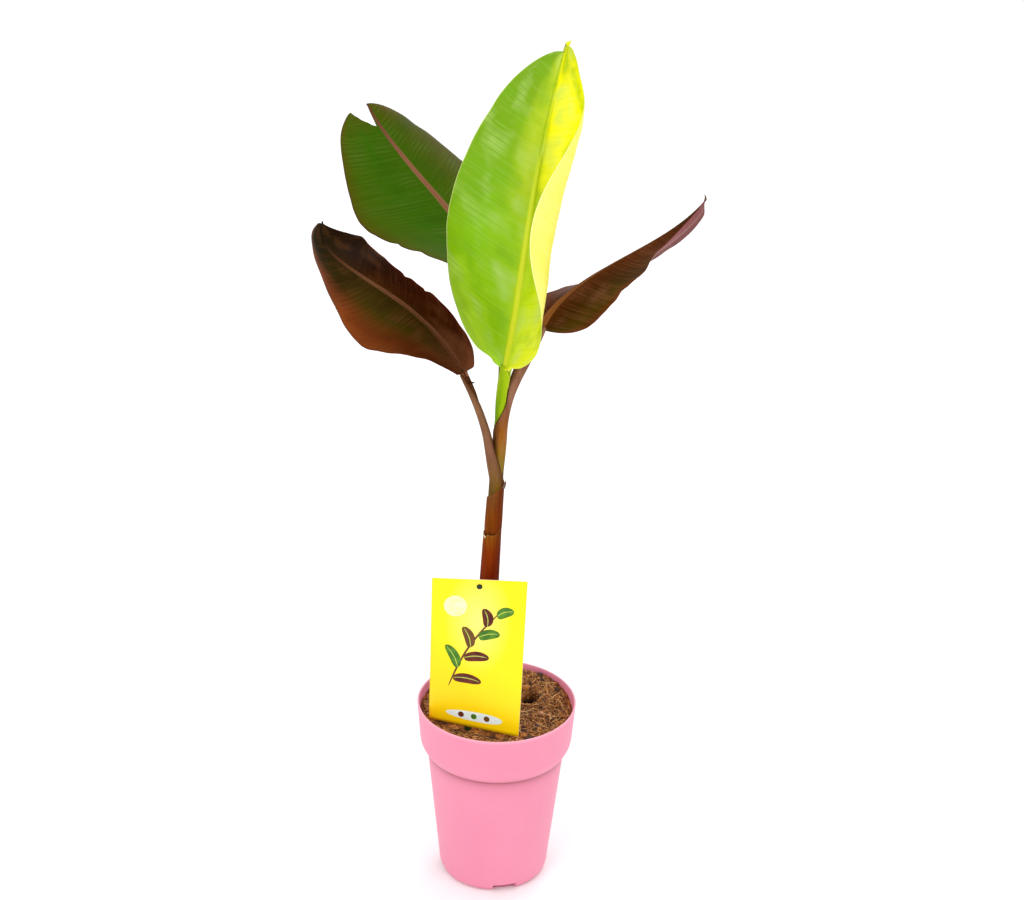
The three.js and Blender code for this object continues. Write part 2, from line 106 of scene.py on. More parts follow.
LEAVES = {
    "centre": Sizes(
        base=(1, -2, 591), bare=0, length=324, point=0.004, rows=330, columns=(36, 60),
        headings=((0.14, 0.07, 0.78), (0.01, 0.08, 0.91), (0.32, 0.1, 1.2)),
        faces=((-0.24, -0.98, 0.13), (0.19, -0.91, 0.03)),
        sides=(
            Sizes(
                width=80, widest=0.46, fullness=(2.25, 1.44), fold=(-4, -4, 15), curl=(-11, -14, 8),
                end=0.976, nicks=((0.018, 0.012, 0.3), (0.9, 0.07, -0.05)),
            ),
            Sizes(
                width=79.4, widest=0.54, fullness=(1.7, 1.1), fold=(54, 15, -28, 46, -75, -75), end=1,
                curl=(-20, 19, 265, 223, 143, 170),
                nicks=((0.012, 0.01, 0.3), (0.07, 0.06, -0.09), (0.97, 0.1, 0.17)),
            ),
        ),
        foot=(-3, 0, 520.3), rise=(0, 0, 1), neck=5.4, rib=(3.5, 2.4), ridge_end=0.66, swell=1.6, ripple=0.5,
        vein_step=6.4, vein_depth=0.13, seed=11, tear=None,
        tip=Sizes(length=6, radius=2.6, kind=0, lean=(1, 0, 0)),
    ),
    "back": Sizes(
        base=(-7, 46, 640), bare=0, length=257, point=0.003, rows=250, columns=(36, 36),
        headings=((-0.15, 0.43, 0.56), (-0.77, 0.44, 0.38), (-0.41, 0.29, 0.63)),
        faces=((0.45, -0.72, 0.56), (0.38, -0.85, 0.39)),
        sides=(
            Sizes(
                width=83, widest=0.49, fullness=(1.26, 1.89), fold=(27, -1, -10), curl=(25, -6, -19),
                end=1.02,
                nicks=((0.3, 0.02, 0.03), (0.4, 0.015, 0.03), (0.6, 0.06, -0.03), (0.84, 0.12, 0.09)),
            ),
            Sizes(
                width=78.3, widest=0.49, fullness=(2.4, 2.46), fold=(22, -5, -5), curl=(-5, -60, -58), end=1,
                nicks=(),
            ),
        ),
        foot=(-4.5, 1, 488), rise=(0, 0.12, 1), neck=4, rib=(4.6, 1.2), ridge_end=0, swell=1.2, ripple=1.2,
        vein_step=5.2, vein_depth=0.14, seed=23, tear=Sizes(along=0.9, beside=0.07, lobe=0.1, ragged=0.003),
        tip=Sizes(length=1, radius=1.2, kind=2, lean=(-0.6, 0, 0.4)),
    ),
    "left": Sizes(
        base=(-38.4, -14, 585.7), bare=0.04, length=220, point=0.03, rows=230, columns=(34, 34),
        headings=((-0.62, 0.22, 1.25), (-0.98, -0.14, 0.14), (0.09, -0.05, 0.29)),
        faces=((0.13, -0.72, 0.64), (0.34, -0.82, -0.27)),
        sides=(
            Sizes(
                width=58.3, widest=0.49, fullness=(1.2, 1.1), fold=(38, 16, -45), curl=(34, 7, -93), end=1,
                nicks=((0.2, 0.05, 0.06), (0.98, 0.04, 0.3)),
            ),
            Sizes(
                width=63.9, widest=0.49, fullness=(1.64, 2.75), fold=(63, 72, 28), curl=(21, 40, 1), end=1,
                nicks=((0.44, 0.012, 0.07), (0.55, 0.017, 0.08), (0.7, 0.06, -0.05)),
            ),
        ),
        foot=(-5.5, -0.5, 469), rise=(-0.17, -0.14, 1), neck=4.2, rib=(4, 1.1), ridge_end=0, swell=1,
        ripple=0.9, vein_step=4.8, vein_depth=0.13, seed=37, tear=None,
        tip=Sizes(length=1.5, radius=1, kind=0, lean=(0.3, 0, 0.9)),
    ),
    "right": Sizes(
        base=(35, 24, 625), bare=0, length=212, point=0.06, rows=220, columns=(34, 44),
        headings=((0.4, 0.27, 0.82), (1.34, 0.35, 0.17), (0.57, 0.15, 0.72)),
        faces=((-0.35, -0.47, 0.82), (-0.38, -0.48, 0.79)),
        sides=(
            Sizes(
                width=42.8, widest=0.4, fullness=(2.49, 2.29), fold=(11, -84, -65, -75),
                curl=(16, -11, -1, -7), end=1, nicks=(),
            ),
            Sizes(
                width=46, widest=0.4, fullness=(2.95, 1.85), fold=(-25, 24, -38), curl=(-41, 14, 165), end=1,
                nicks=((0.41, 0.03, 0.06), (0.54, 0.06, -0.1), (0.66, 0.03, 0.06)),
            ),
        ),
        foot=(-3, 0.3, 516), rise=(0, -0.12, 1), neck=4, rib=(3.5, 1), ridge_end=0, swell=0.8, ripple=1.2,
        vein_step=4.6, vein_depth=0.13, seed=53, tear=None,
        tip=Sizes(length=6, radius=1.2, kind=2, lean=(-0.7, 0, 0.9)),
    ),
}
STALKS = {
    "centre": Sizes(
        opening=(0.95, -0.3, 0.1), turn=(580, 600), seed=111, groove=0.4, scar=None,
        radius=((484, 5), (500, 5.2), (530, 5.5), (560, 5.8), (591, 5.9)),
        gap=((500, 14), (591, 20)), hollow=((500, 0), (591, 0)),
    ),
    "back": Sizes(
        opening=(0.09, -1, 0), turn=(520, 600), seed=121, groove=0.4, scar=None,
        radius=((470, 6.9), (500, 6.5), (545, 5), (640, 4)),
        gap=((470, 20), (510, 70), (545, 80), (640, 55)), hollow=((470, 1), (520, 0.6), (560, 0)),
    ),
    "left": Sizes(
        opening=(0.93, 0.37, 0), turn=(545, 595), seed=131, groove=0.3, scar=580,
        radius=((438, 7.2), (470, 7.3), (490, 7), (505, 6), (520, 4.8), (538, 4.2), (560, 3.9), (587, 4.2)),
        gap=((438, 10), (468, 20), (488, 55), (508, 66), (522, 40), (587, 32)),
        hollow=((438, 1), (485, 0.9), (510, 0.5), (530, 0)),
    ),
    "right": Sizes(
        opening=(-0.97, 0.26, 0), turn=(600, 640), seed=141, groove=1, scar=None,
        radius=(
            (452, 6.3), (470, 6.4), (485, 7), (500, 7.4), (532, 7.3), (548, 6.8), (562, 6.1), (580, 6.1),
            (590, 6.5), (605, 6.2), (625, 4.8),
        ),
        gap=(
            (452, 8), (505, 10), (520, 18), (527, 36), (533, 60), (540, 84), (546, 100), (552, 112),
            (562, 94), (570, 66), (578, 32), (586, 18), (640, 30),
        ),
        hollow=((452, 1), (545, 0.95), (562, 0.6), (580, 0.1), (590, 0)),
    ),
}


# Small helpers for numbers, curves and noise

def lerp(a, b, share):
    return a + (b - a) * share


def smooth(share):
    share = np.clip(share, 0, 1)
    return share * share * (3 - 2 * share)


def blend(values, share):
    """A Bezier curve of any order through control values, at shares from 0 to 1."""
    order = len(values) - 1
    return sum(
        comb(order, step) * (1 - share) ** (order - step) * share ** step * value
        for step, value in enumerate(values)
    )


def bezier(points, count):
    """Points along a Bezier curve of any order."""
    return blend(np.array(points, float), np.linspace(0, 1, count)[:, None])


def unit(vectors):
    return vectors / np.linalg.norm(vectors, axis=-1, keepdims=True)


def square_to(vectors, directions):
    """Unit vectors with their part along the directions taken away."""
    return unit(vectors - np.sum(vectors * directions, -1, keepdims=True) * directions)


def noise(x, y, seed):
    """Smooth noise from -1 to 1, with features about one unit across."""
    size = 64
    table = np.random.default_rng(seed).uniform(-1, 1, (size, size))
    x, y = np.broadcast_arrays(np.asarray(x, float), np.asarray(y, float))
    column = np.floor(x).astype(int)
    row = np.floor(y).astype(int)
    across = smooth(x - column)
    low, high = (
        lerp(table[column % size, line % size], table[(column + 1) % size, line % size], across)
        for line in (row, row + 1)
    )
    return lerp(low, high, smooth(y - row))


def soft_keys(place, keys):
    """A column of values at a column of places, between keys of (place, value), with rounded corners."""
    values = np.interp(place[:, 0], *zip(*keys))
    window = np.hanning(13)[1:-1]
    padded = np.pad(values, len(window) // 2, mode="edge")
    return np.convolve(padded, window / window.sum(), mode="valid")[:, None]


def around(count):
    """Angles of evenly spaced points round a circle."""
    return np.arange(count) * CIRCLE / count


def spun(radius, turn, height):
    """Points at radii, angles and heights about the upright axis."""
    radius, turn, height = np.broadcast_arrays(radius, turn, height)
    return np.stack([radius * np.cos(turn), radius * np.sin(turn), height], -1)


def near_angle(turn, middle, spread):
    """1 at a middle angle in degrees, falling to nothing over a spread in radians."""
    off = (turn - radians(middle) + pi) % CIRCLE - pi
    return np.exp(-(off / spread) ** 2)


# Meshes

def pairs(loop):
    """Each entry of a closed loop with the next one."""
    return zip(loop, loop[1:] + loop[:1])


def flipped(faces):
    return [face[::-1] for face in faces]


def grid_faces(rows, columns, closed=False):
    """Quads over rows of points, which are rings where the grid is closed."""
    row, column = np.meshgrid(np.arange(rows - 1), np.arange(columns - (not closed)), indexing="ij")
    after = (column + 1) % columns
    low = row * columns
    high = low + columns
    return np.stack([low + column, low + after, high + after, high + column], -1).reshape(-1, 4).tolist()


def capped_faces(rows, columns):
    """Quads of a tube, with a face over each end."""
    start = list(range(columns))
    end = [(rows - 1) * columns + index for index in start]
    return grid_faces(rows, columns, True) + [start[::-1], end]


def grid_outline(rows, columns):
    """The numbers of the points round a grid's border."""
    grid = np.arange(rows * columns).reshape(rows, columns)
    return np.concatenate([grid[0, :-1], grid[:-1, -1], grid[-1, :0:-1], grid[:0:-1, 0]]).tolist()


def rings(path, radii, sides):
    """Rings of points round a path."""
    tangent = unit(np.gradient(path, axis=0))
    guide = np.where(np.abs(tangent[:, 2:]) > 0.9, (1, 0, 0), (0, 0, 1))
    side = unit(np.cross(tangent, guide))
    other = np.cross(tangent, side)
    turn = around(sides)[:, None]
    out = side[:, None] * np.cos(turn) + other[:, None] * np.sin(turn)
    return path[:, None] + out * radii[:, None, None]


def add_object(name, data):
    """A new object in the scene."""
    made = bpy.data.objects.new(name, data)
    bpy.context.scene.collection.objects.link(made)
    return made


class Shape:
    """Points, faces, material numbers and point values gathered into one mesh."""

    def __init__(self):
        self.points = []
        self.faces = []
        self.kinds = []
        self.values = {}
        self.count = 0

    def join(self, faces, kind=0):
        """Adds faces between points that are already there."""
        self.faces.extend(faces)
        self.kinds.extend([kind] * len(faces))

    def add(self, points, faces, kind=0, **values):
        """Adds points with their values and faces, and gives the number of the first point."""
        points = np.asarray(points, float)
        for key, value in values.items():
            spread = np.broadcast_to(np.asarray(value, float), points.shape[:-1])
            self.values.setdefault(key, []).append(spread.ravel())
        first = self.count
        self.points.append(points.reshape(-1, 3))
        self.count += len(self.points[-1])
        self.join([[first + index for index in face] for face in faces], kind)
        return first

    def tube(self, points, kind=0, flip=False, **values):
        """Adds rings of points as a closed tube with capped ends."""
        faces = capped_faces(*points.shape[:2])
        self.add(points, flipped(faces) if flip else faces, kind, **values)

    def sheet(self, front, back, kinds, front_values, back_values):
        """Adds two grids of points as the skins of one closed sheet."""
        faces = grid_faces(*front.shape[:2])
        over = self.add(front, faces, kinds[0], **front_values)
        under = self.add(back, flipped(faces), kinds[1], **back_values)
        self.hem(over, under, grid_outline(*front.shape[:2]))

    def hem(self, front, back, outline, kind=0):
        """Joins two skins along a closed outline."""
        self.join([(front + b, front + a, back + a, back + b) for a, b in pairs(outline)], kind)

    def piece(self, name, materials, slot, nodes=()):
        mesh = bpy.data.meshes.new(name)
        mesh.from_pydata((np.vstack(self.points) * MM).tolist(), [], self.faces)
        for material in materials:
            mesh.materials.append(material)
        mesh.polygons.foreach_set("material_index", np.array(self.kinds, np.int32))
        mesh.polygons.foreach_set("use_smooth", np.ones(len(mesh.polygons), bool))
        for key, values in self.values.items():
            layer = mesh.attributes.new(key, "FLOAT", "POINT")
            layer.data.foreach_set("value", np.concatenate(values).astype(np.float32))
        mesh.update()
        made = add_object(name, mesh)
        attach(made, BODY)
        if nodes:
            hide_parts(*nodes)


# Materials

def paint(code):
    """A linear colour from an sRGB hex code."""
    shares = [int(code[place:place + 2], 16) / 255 for place in (0, 2, 4)]
    linear = [s / 12.92 if s <= 0.04045 else ((s + 0.055) / 1.055) ** 2.4 for s in shares]
    return (*linear, 1)


class Shader:
    """A node material with short ways to add and link its nodes, and its colour so far."""

    def __init__(self, name, specular=0.5):
        self.material = bpy.data.materials.new(name)
        self.material.use_nodes = True
        self.tree = self.material.node_tree
        self.surface = self.tree.nodes["Principled BSDF"]
        self.surface.inputs["Specular IOR Level"].default_value = specular
        self.place = self.node("TexCoord").outputs["Object"]
        self.colour = None

    def feed(self, socket, value):
        if isinstance(value, bpy.types.NodeSocket):
            self.tree.links.new(value, socket)
        else:
            socket.default_value = value

    def node(self, kind, *inputs, **settings):
        """A new node with its settings, and its first inputs set or linked."""
        made = self.tree.nodes.new("ShaderNode" + kind)
        for key, value in settings.items():
            setattr(made, key, value)
        for socket, value in zip(made.inputs, inputs):
            self.feed(socket, value)
        return made

    def value(self, name):
        return self.node("Attribute", attribute_name=name).outputs["Fac"]

    def vector(self, x, y):
        return self.node("CombineXYZ", x, y).outputs[0]

    def squashed(self, scale):
        """The place in the object, squashed along its height."""
        return self.node("VectorMath", self.place, (1, 1, scale), operation="MULTIPLY").outputs[0]

    def math(self, operation, *values):
        return self.node("Math", *values, operation=operation).outputs[0]

    def times(self, product, *factors):
        for factor in factors:
            product = self.math("MULTIPLY", product, factor)
        return product

    def span(self, value, low, high, to_low=0, to_high=1):
        """A value carried from one range to another and kept inside it."""
        return self.node("MapRange", value, low, high, to_low, to_high).outputs[0]

    def cloud(self, vector, scale, detail=3, rough=0.5):
        made = self.node("TexNoise", vector)
        made.inputs["Scale"].default_value = scale
        made.inputs["Detail"].default_value = detail
        made.inputs["Roughness"].default_value = rough
        return made.outputs["Fac"]

    def ramp(self, share, stops):
        """Colours along a share, from stops of (place, hex code)."""
        made = self.node("ValToRGB", share)
        elements = made.color_ramp.elements
        while len(elements) < len(stops):
            elements.new(0.5)
        for element, (place, code) in zip(elements, stops):
            element.position = place
            element.color = paint(code)
        return made.outputs[0]

    def mix(self, share, first, second, blend_type="MIX"):
        made = self.node("Mix", share, data_type="RGBA", blend_type=blend_type)
        self.feed(made.inputs[6], first)
        self.feed(made.inputs[7], second)
        return made.outputs[2]

    def tint(self, share, code, blend_type="MIX"):
        """Mixes a colour into the colour so far."""
        self.colour = self.mix(share, self.colour, paint(code), blend_type)

    def finish(self, roughness, height, strength, depth):
        """Links colour, roughness and a bump whose height spans a depth in millimetres."""
        bump = self.node("Bump")
        bump.inputs["Strength"].default_value = strength
        bump.inputs["Distance"].default_value = depth * MM
        self.feed(bump.inputs["Height"], height)
        self.feed(self.surface.inputs["Base Color"], self.colour)
        self.feed(self.surface.inputs["Roughness"], roughness)
        self.feed(self.surface.inputs["Normal"], bump.outputs[0])
        return self.material


def mottled_material(name, code, shade, grain, spread, gloss, bump, specular=0.5):
    """Two colours mixed by a cloud pattern, which also varies the gloss and the relief."""
    shader = Shader(name, specular)
    cloud = shader.cloud(shader.place, *grain)
    shader.colour = shader.mix(shader.span(cloud, *spread), paint(code), paint(shade))
    return shader.finish(shader.span(cloud, 0.3, 0.7, *gloss), cloud, *bump)


def speck_material(name, code, shade):
    """A dry fibre or crumb."""
    return mottled_material(name, code, shade, (300, 2), (0.3, 0.7), (0.75, 0.9), (0.3, 0.1))


def print_material(name, code, shade, scale=180):
    """Print ink or another smooth, slightly mottled surface."""
    return mottled_material(name, code, shade, (scale, 3), (0.35, 0.65), (0.32, 0.4), (0.04, 0.03), 0.25)


def pot_material():
    shader = Shader("pink_plastic", 0.35)
    broad = shader.cloud(shader.place, 14)
    fine = shader.cloud(shader.place, 900, 2)
    shader.colour = shader.ramp(broad, ((0.3, "e286a1"), (0.7, "e68ca6")))
    # Painted light: the inner wall is painted lighter, the crease under the lip gets painted shade and the
    # rim a painted highlight.
    tints = (("inner", 1, "ff9cba"), ("crease", 0.95, "9c4c58"), ("rim", 0.6, "fbb4c6"))
    for value, amount, code in tints:
        shader.tint(shader.times(shader.value(value), amount), code)
    return shader.finish(shader.span(broad, 0.3, 0.7, 0.42, 0.52), fine, 0.12, 0.15)


def soil_material():
    shader = Shader("coir_soil", 0.2)
    lumps = shader.cloud(shader.place, 110, 6, 0.65)
    grit = shader.cloud(shader.place, 520, 4, 0.6)
    shader.colour = shader.ramp(lumps, ((0.36, "1c0c06"), (0.5, "6a3a18"), (0.66, "b8742e")))
    shader.tint(shader.span(grit, 0.4, 0.75, 0, 0.5), "d88c44")
    # Painted shade in the soil's low places and in the pit.
    shader.tint(shader.value("dark"), "1c0e06")
    return shader.finish(shader.span(grit, 0.2, 0.8, 0.8, 0.95), grit, 0.7, 1.2)


def card_material():
    """Printed yellow card, paler towards a spot high on it and amber low on its left."""
    shader = Shader("yellow_card", 0.3)
    across = shader.value("card_across")
    up = shader.value("card_up")
    aside = shader.math("POWER", shader.math("SUBTRACT", across, 0.5), 2)
    above = shader.math("POWER", shader.math("SUBTRACT", up, 0.72), 2)
    reach = shader.math("SQRT", shader.math("ADD", aside, above))
    shader.colour = shader.mix(shader.span(reach, 0.02, 0.36, 0.5, 0), paint("ffe600"), paint("fff6a0"))
    low = shader.math("ADD", shader.times(across, 0.35), up)
    patchy = shader.span(shader.cloud(shader.vector(across, up), 3, 2), 0.3, 0.7, 0.6, 1)
    shader.tint(shader.times(shader.span(low, 0.75, 0.1, 0, 0.75), patchy), "f0c000")
    fine = shader.cloud(shader.place, 700, 2)
    return shader.finish(shader.span(fine, 0.3, 0.7, 0.3, 0.38), fine, 0.06, 0.05)


def fibrous_material(name, heights, streaks, broad, tints, gloss, bump):
    """Skin coloured by height, then tinted by lengthwise streaks and by the mesh's values."""
    shader = Shader(name, 0.03)
    low = heights[0][0] * MM
    high = heights[-1][0] * MM
    stops = [((level * MM - low) / (high - low), code) for level, code in heights]
    height = shader.node("SeparateXYZ", shader.place).outputs[2]
    shader.colour = shader.ramp(shader.span(height, low, high), stops)
    patterns = {
        key: shader.cloud(shader.squashed(squash), *grain)
        for key, (squash, *grain) in (("streaks", streaks), ("broad", broad))
    }
    for key, start, end, amount, code in tints:
        pattern = patterns[key] if key in patterns else shader.value(key)
        shader.tint(shader.span(pattern, start, end, 0, amount), code)
    return shader.finish(shader.span(patterns["streaks"], 0.3, 0.7, *gloss), patterns["streaks"], *bump)


def stalk_material(name, heights, inside, lip, rib):
    """Stalk skin with a dark free edge and its own inner colour, which is also laid over one side as painted
    shade (lighter, as painted light, on the green stalk).
    """
    tints = (
        ("streaks", 0.42, 0.72, 0.5, rib), ("broad", 0.4, 0.7, 0.45, lip), ("lee", 0, 1, 0.75, inside),
        ("inside", 0, 1, 1, inside), ("lip", 0, 1, 1, lip),
    )
    streaks = (0.035, 900, 4, 0.6)
    return fibrous_material(name, heights, streaks, (0.2, 130), tints, (0.36, 0.5), (0.35, 0.3))


def sheath_material(name, heights):
    """Dry sheath skin with dark streaks, a dark free edge, a pale cut end and painted shade on its right
    side.
    """
    tints = (
        ("streaks", 0.4, 0.7, 0.6, "441004"), ("broad", 0.45, 0.7, 0.45, "863e04"),
        ("lee", 0, 1, 0.6, "5c1a02"), ("cut", 0.3, 1, 0.4, "8e6434"), ("lip", 0, 1, 1, "3c1408"),
        ("inside", 0, 1, 1, "4a2412"),
    )
    streaks = (0.03, 800, 4, 0.62)
    return fibrous_material(name, heights, streaks, (0.15, 110), tints, (0.4, 0.58), (0.45, 0.35))


def leaf_material(
    name, across, ends, streaks_and_light, margin, rib, groove, hatch,
    hatch_span=(-1, 0), patches=(), gloss=(0.4, 0.55), specular=0.02,
):
    """Leaf skin with colours across and along it, streaks by its veins, painted highlights and shade, a
    margin and a rib.
    """
    shader = Shader(name, specular)
    share = shader.value("across")
    along = shader.value("along")
    vein = shader.value("vein")
    shader.colour = shader.ramp(share, across)
    wander = shader.math("ADD", along, shader.span(shader.cloud(shader.place, 26), 0.2, 0.8, -0.12, 0.12))
    for start, end, code in ends:
        shader.tint(shader.span(wander, start, end), code)
    for across_span, along_span, amount, code in patches:
        inside = shader.times(shader.span(share, *across_span), shader.span(wander, *along_span), amount)
        shader.tint(inside, code)
    broad = shader.cloud(shader.vector(shader.times(vein, 0.026), shader.times(share, 4)), 1, 2)
    streaks = shader.cloud(shader.vector(shader.times(vein, 0.42), shader.times(share, 1.8)), 1, 3, 0.6)
    pale, deep, streak_amount, painted_light_amount = streaks_and_light
    # The broad pattern lays painted highlights and painted shade over the leaf; the fine streaks are the
    # leaf's own streaking.
    for pattern, amount in ((broad, painted_light_amount), (streaks, streak_amount)):
        shader.tint(shader.span(pattern, 0.5, 0.75, 0, amount), pale)
        shader.tint(shader.span(pattern, 0.48, 0.25, 0, amount), deep)
    hatch_code, hatch_step, hatch_amount = hatch
    wave = shader.math("SINE", shader.times(vein, CIRCLE / hatch_step))
    grouped = shader.times(shader.span(wave, 0.6, 1), shader.span(broad, 0.48, 0.62))
    grouped = shader.times(grouped, shader.span(share, *hatch_span), hatch_amount)
    shader.tint(grouped, hatch_code, "MULTIPLY")
    shader.tint(shader.span(shader.value("edge"), margin[0], 1), margin[1])
    grooved = shader.times(shader.value("groove"), shader.span(along, 0.9, 0.6, 0, 0.5))
    rib_colour = shader.mix(grooved, shader.ramp(along, rib), paint(groove))
    shader.colour = shader.mix(shader.value("rib"), shader.colour, rib_colour)
    return shader.finish(shader.span(streaks, 0.3, 0.75, *gloss), streaks, 0.35, 0.35)


# Pot

def pot_profile(inset):
    """The wall's line of (radius, height) from the base's edge up to just below the rim."""
    rise = inset * POT.floor / POT.wall
    lean = (POT.body_top - POT.base) / POT.body_top_z
    foot = (POT.base + lean * POT.base_round - inset, POT.base_round + rise)
    low = POT.body_top_z + inset * POT.step_shift
    high = POT.lip_foot_z + inset * POT.step_shift
    ledge = 0 if inset else POT.ledge
    body_top = POT.body_top - inset
    lip_foot = POT.lip_foot - inset
    out, rise_out = POT.step_out
    back, drop_back = POT.step_in
    base = bezier(((foot[0] - POT.base_round, rise), (POT.base - inset / 2, rise), foot), 10)
    body = bezier((foot, (body_top, low + ledge)), 50)
    step_start = (body_top + ledge, low)
    step_out = (body_top + ledge + out, low + rise_out)
    step_in = (lip_foot - back, high - drop_back)
    step_end = (lip_foot, high + POT.lip_start)
    step = bezier((step_start, step_out, step_in, step_end), 16)
    lip = bezier((step_end, (POT.rim - inset, POT.height - 1)), 14)
    return np.vstack([base, body[1:], step, lip[1:]])


def pot():
    outer = pot_profile(0)
    inner = pot_profile(POT.wall)
    half_wall = POT.wall / 2
    rim = [
        (POT.rim - half_wall + half_wall * cos(turn), POT.height - 1 + sin(turn))
        for turn in np.linspace(0, pi, 9)[1:-1]
    ]
    hub = (0.01, POT.hub, NOTCH.inner - NOTCH.edge, NOTCH.inner)
    start = [(radius, 0) for radius in hub]
    end = [(radius, POT.floor) for radius in hub[::-1]]
    profile = np.vstack([start, outer, rim, inner[::-1], end])
    radius, level = profile.T[..., None]
    is_inner = np.arange(len(profile))[:, None] >= len(start) + len(outer) + len(rim)
    half = degrees(asin(NOTCH.width / 2 / POT.base))
    edge = degrees(NOTCH.edge / POT.base)
    middles = NOTCH.first + 360 / NOTCH.count * np.arange(NOTCH.count)
    extra = [place + side * (half + shift) for place in middles for side in (-1, 1) for shift in (0, edge)]
    even = np.arange(POT.segments) * 360 / POT.segments
    angles = np.unique(np.round(np.append(even, np.array(extra) % 360), 4))
    off = np.min([np.abs((angles - place + 180) % 360 - 180) for place in middles], axis=0)
    in_notch = np.clip((half + edge - off) / edge, 0, 1)
    past = np.clip((radius - NOTCH.inner + NOTCH.edge) / NOTCH.edge, 0, 1)
    height = np.maximum(level, past * in_notch * (NOTCH.height + POT.floor * is_inner))
    # Painted shade: the outer wall darkens in the crease where the body meets the step under the lip, fading
    # away below and above it.
    below_step = POT.body_top_z + POT.ledge - level
    fade = np.where(below_step > 0, POT.crease_fade, POT.crease_above)
    crease = np.where(is_inner, 0, np.exp(-np.abs(below_step) / fade))
    # Painted highlight: a pale band along the top of the rim.
    rim_highlight = smooth((level - POT.height + POT.rim_pale) / POT.rim_fade)
    shape = Shape()
    points = spun(radius, np.radians(angles), height)
    shape.tube(points, flip=True, inner=is_inner, crease=crease, rim=rim_highlight)
    shape.piece("pot_body", [pot_material()], "pot_plastic", ("pot",))


# Soil

def pit_reach(x, y):
    """How far out of the soil's uneven pit a place is, 1 at the pit's edge."""
    aside = (x - PIT.x) / PIT.long
    beyond = (y - PIT.y) / PIT.wide
    uneven = PIT.reach + PIT.uneven * noise(x / PIT.lump, y / PIT.lump, PIT.seed)
    return (aside ** 2 + beyond ** 2) * uneven


def from_card(x, y):
    """How far places are along the card's foot from its middle, and how far behind it."""
    turn = radians(LABEL.foot_turn)
    x = x - LABEL.foot[0]
    y = y - LABEL.foot[1]
    return x * cos(turn) + y * sin(turn), y * cos(turn) - x * sin(turn)


def soil_height(x, y):
    """The soil's lumpy surface, with its heap, sunk rim, pit and hollow by the card."""
    lumps = sum(depth * noise(x / run, y / run, seed) for depth, run, seed in SOIL.lumps)
    rim = -SOIL.sunk * smooth((np.hypot(x, y) - SOIL.sunk_from) / SOIL.sunk_run)
    heap = SOIL.heap * smooth((y - SOIL.heap_from) / SOIL.heap_run)
    beside, behind = from_card(x, y)
    hollow = -SOIL.hollow * np.exp(-((behind - SOIL.hollow_place) / SOIL.hollow_width) ** 2)
    hollow = hollow * smooth((LABEL.width / 2 - np.abs(beside)) / SOIL.hollow_end)
    pit = -PIT.depth * np.exp(-pit_reach(x, y) ** 2)
    return SOIL.top + lumps + heap + rim + hollow + pit


def soil():
    turn = around(SOIL.segments)
    top = spun(np.linspace(0, 1, SOIL.rings)[1:, None] ** 0.8 * SOIL.radius, turn, 0)
    top[..., 2] = soil_height(top[..., 0], top[..., 1])
    rows = np.concatenate([top, [spun(wall, turn, height) for wall, height in SOIL.wall]])
    x, y, height = np.moveaxis(rows, -1, 0)
    # Painted shade: the soil darkens in its low places and in the pit.
    deep = smooth((SOIL.top - SOIL.dark_run - height) / SOIL.dark_run)
    pit_shade = smooth(1.5 - pit_reach(x, y))
    shape = Shape()
    shape.add(rows, grid_faces(*height.shape, True), dark=np.maximum(deep, pit_shade))
    centre = shape.add([(0, 0, float(soil_height(0, 0)))], [], dark=0)
    ring = list(range(SOIL.segments))
    shape.join([(centre, a, b) for a, b in pairs(ring)])
    shape.join([[(len(rows) - 1) * SOIL.segments + index for index in ring][::-1]])
    shape.piece("soil_top", [soil_material()], "soil", ("soil",))


def scattered(random, size, inset):
    """Random places over the soil."""
    radius = np.sqrt(random.uniform(0, 1, size)) * (SOIL.radius - inset)
    turn = random.uniform(0, CIRCLE, size)
    return radius * np.cos(turn), radius * np.sin(turn)


def clear_of_plant(points):
    """True for strands clear of the stem's foot, the wall, the card and the pit."""
    x = points[..., 0]
    y = points[..., 1]
    stem = np.hypot(x - STEM.axis_x[0], y - STEM.axis_y[0]).min(-1)
    wall = np.hypot(x, y).max(-1)
    beside, behind = from_card(x, y)
    by_card = np.abs(beside).min(-1) < LABEL.width / 2 + CLEARANCE.card
    crosses = by_card & (behind.min(-1) < CLEARANCE.card) & (behind.max(-1) > -CLEARANCE.card)
    off_pit = pit_reach(x, y).min(-1) > CLEARANCE.pit
    return (stem > CLEARANCE.stem) & (wall < SOIL.radius - CLEARANCE.wall) & ~crosses & off_pit


def soil_fibres():
    """Loose coir strands lying on the soil."""
    random = np.random.default_rng(FIBRES.seed)
    size = (FIBRES.count, 1)
    middle_x, middle_y = scattered(random, size, FIBRES.inset)
    heading = random.uniform(0, CIRCLE, size)
    bend = random.normal(0, FIBRES.bend, size)
    length = random.gamma(*FIBRES.length, size) + FIBRES.shortest
    lift = random.gamma(*FIBRES.arch, size)
    thick = random.uniform(*FIBRES.thickness, size) * FIBRES.taper
    kinds = random.choice(3, FIBRES.count, p=FIBRES.kinds)
    share = np.linspace(-0.5, 0.5, len(FIBRES.taper))
    angle = heading + bend * share * 2
    x = middle_x + np.cos(angle) * share * length
    y = middle_y + np.sin(angle) * share * length
    arch = lift * (1 - (2 * share) ** 2)
    paths = np.stack([x, y, soil_height(x, y) + FIBRES.above + arch], -1)
    shape = Shape()
    for index in np.flatnonzero(clear_of_plant(paths)):
        shape.tube(rings(paths[index], thick[index], FIBRES.sides), int(kinds[index]))
    colours = (
        ("fibre_tan", "ffc88a", "d4924c"), ("fibre_brown", "b8743a", "8c5220"),
        ("fibre_dark", "4c2a14", "2c160a"),
    )
    shape.piece("soil_fibres", [speck_material(*colour) for colour in colours], "soil")


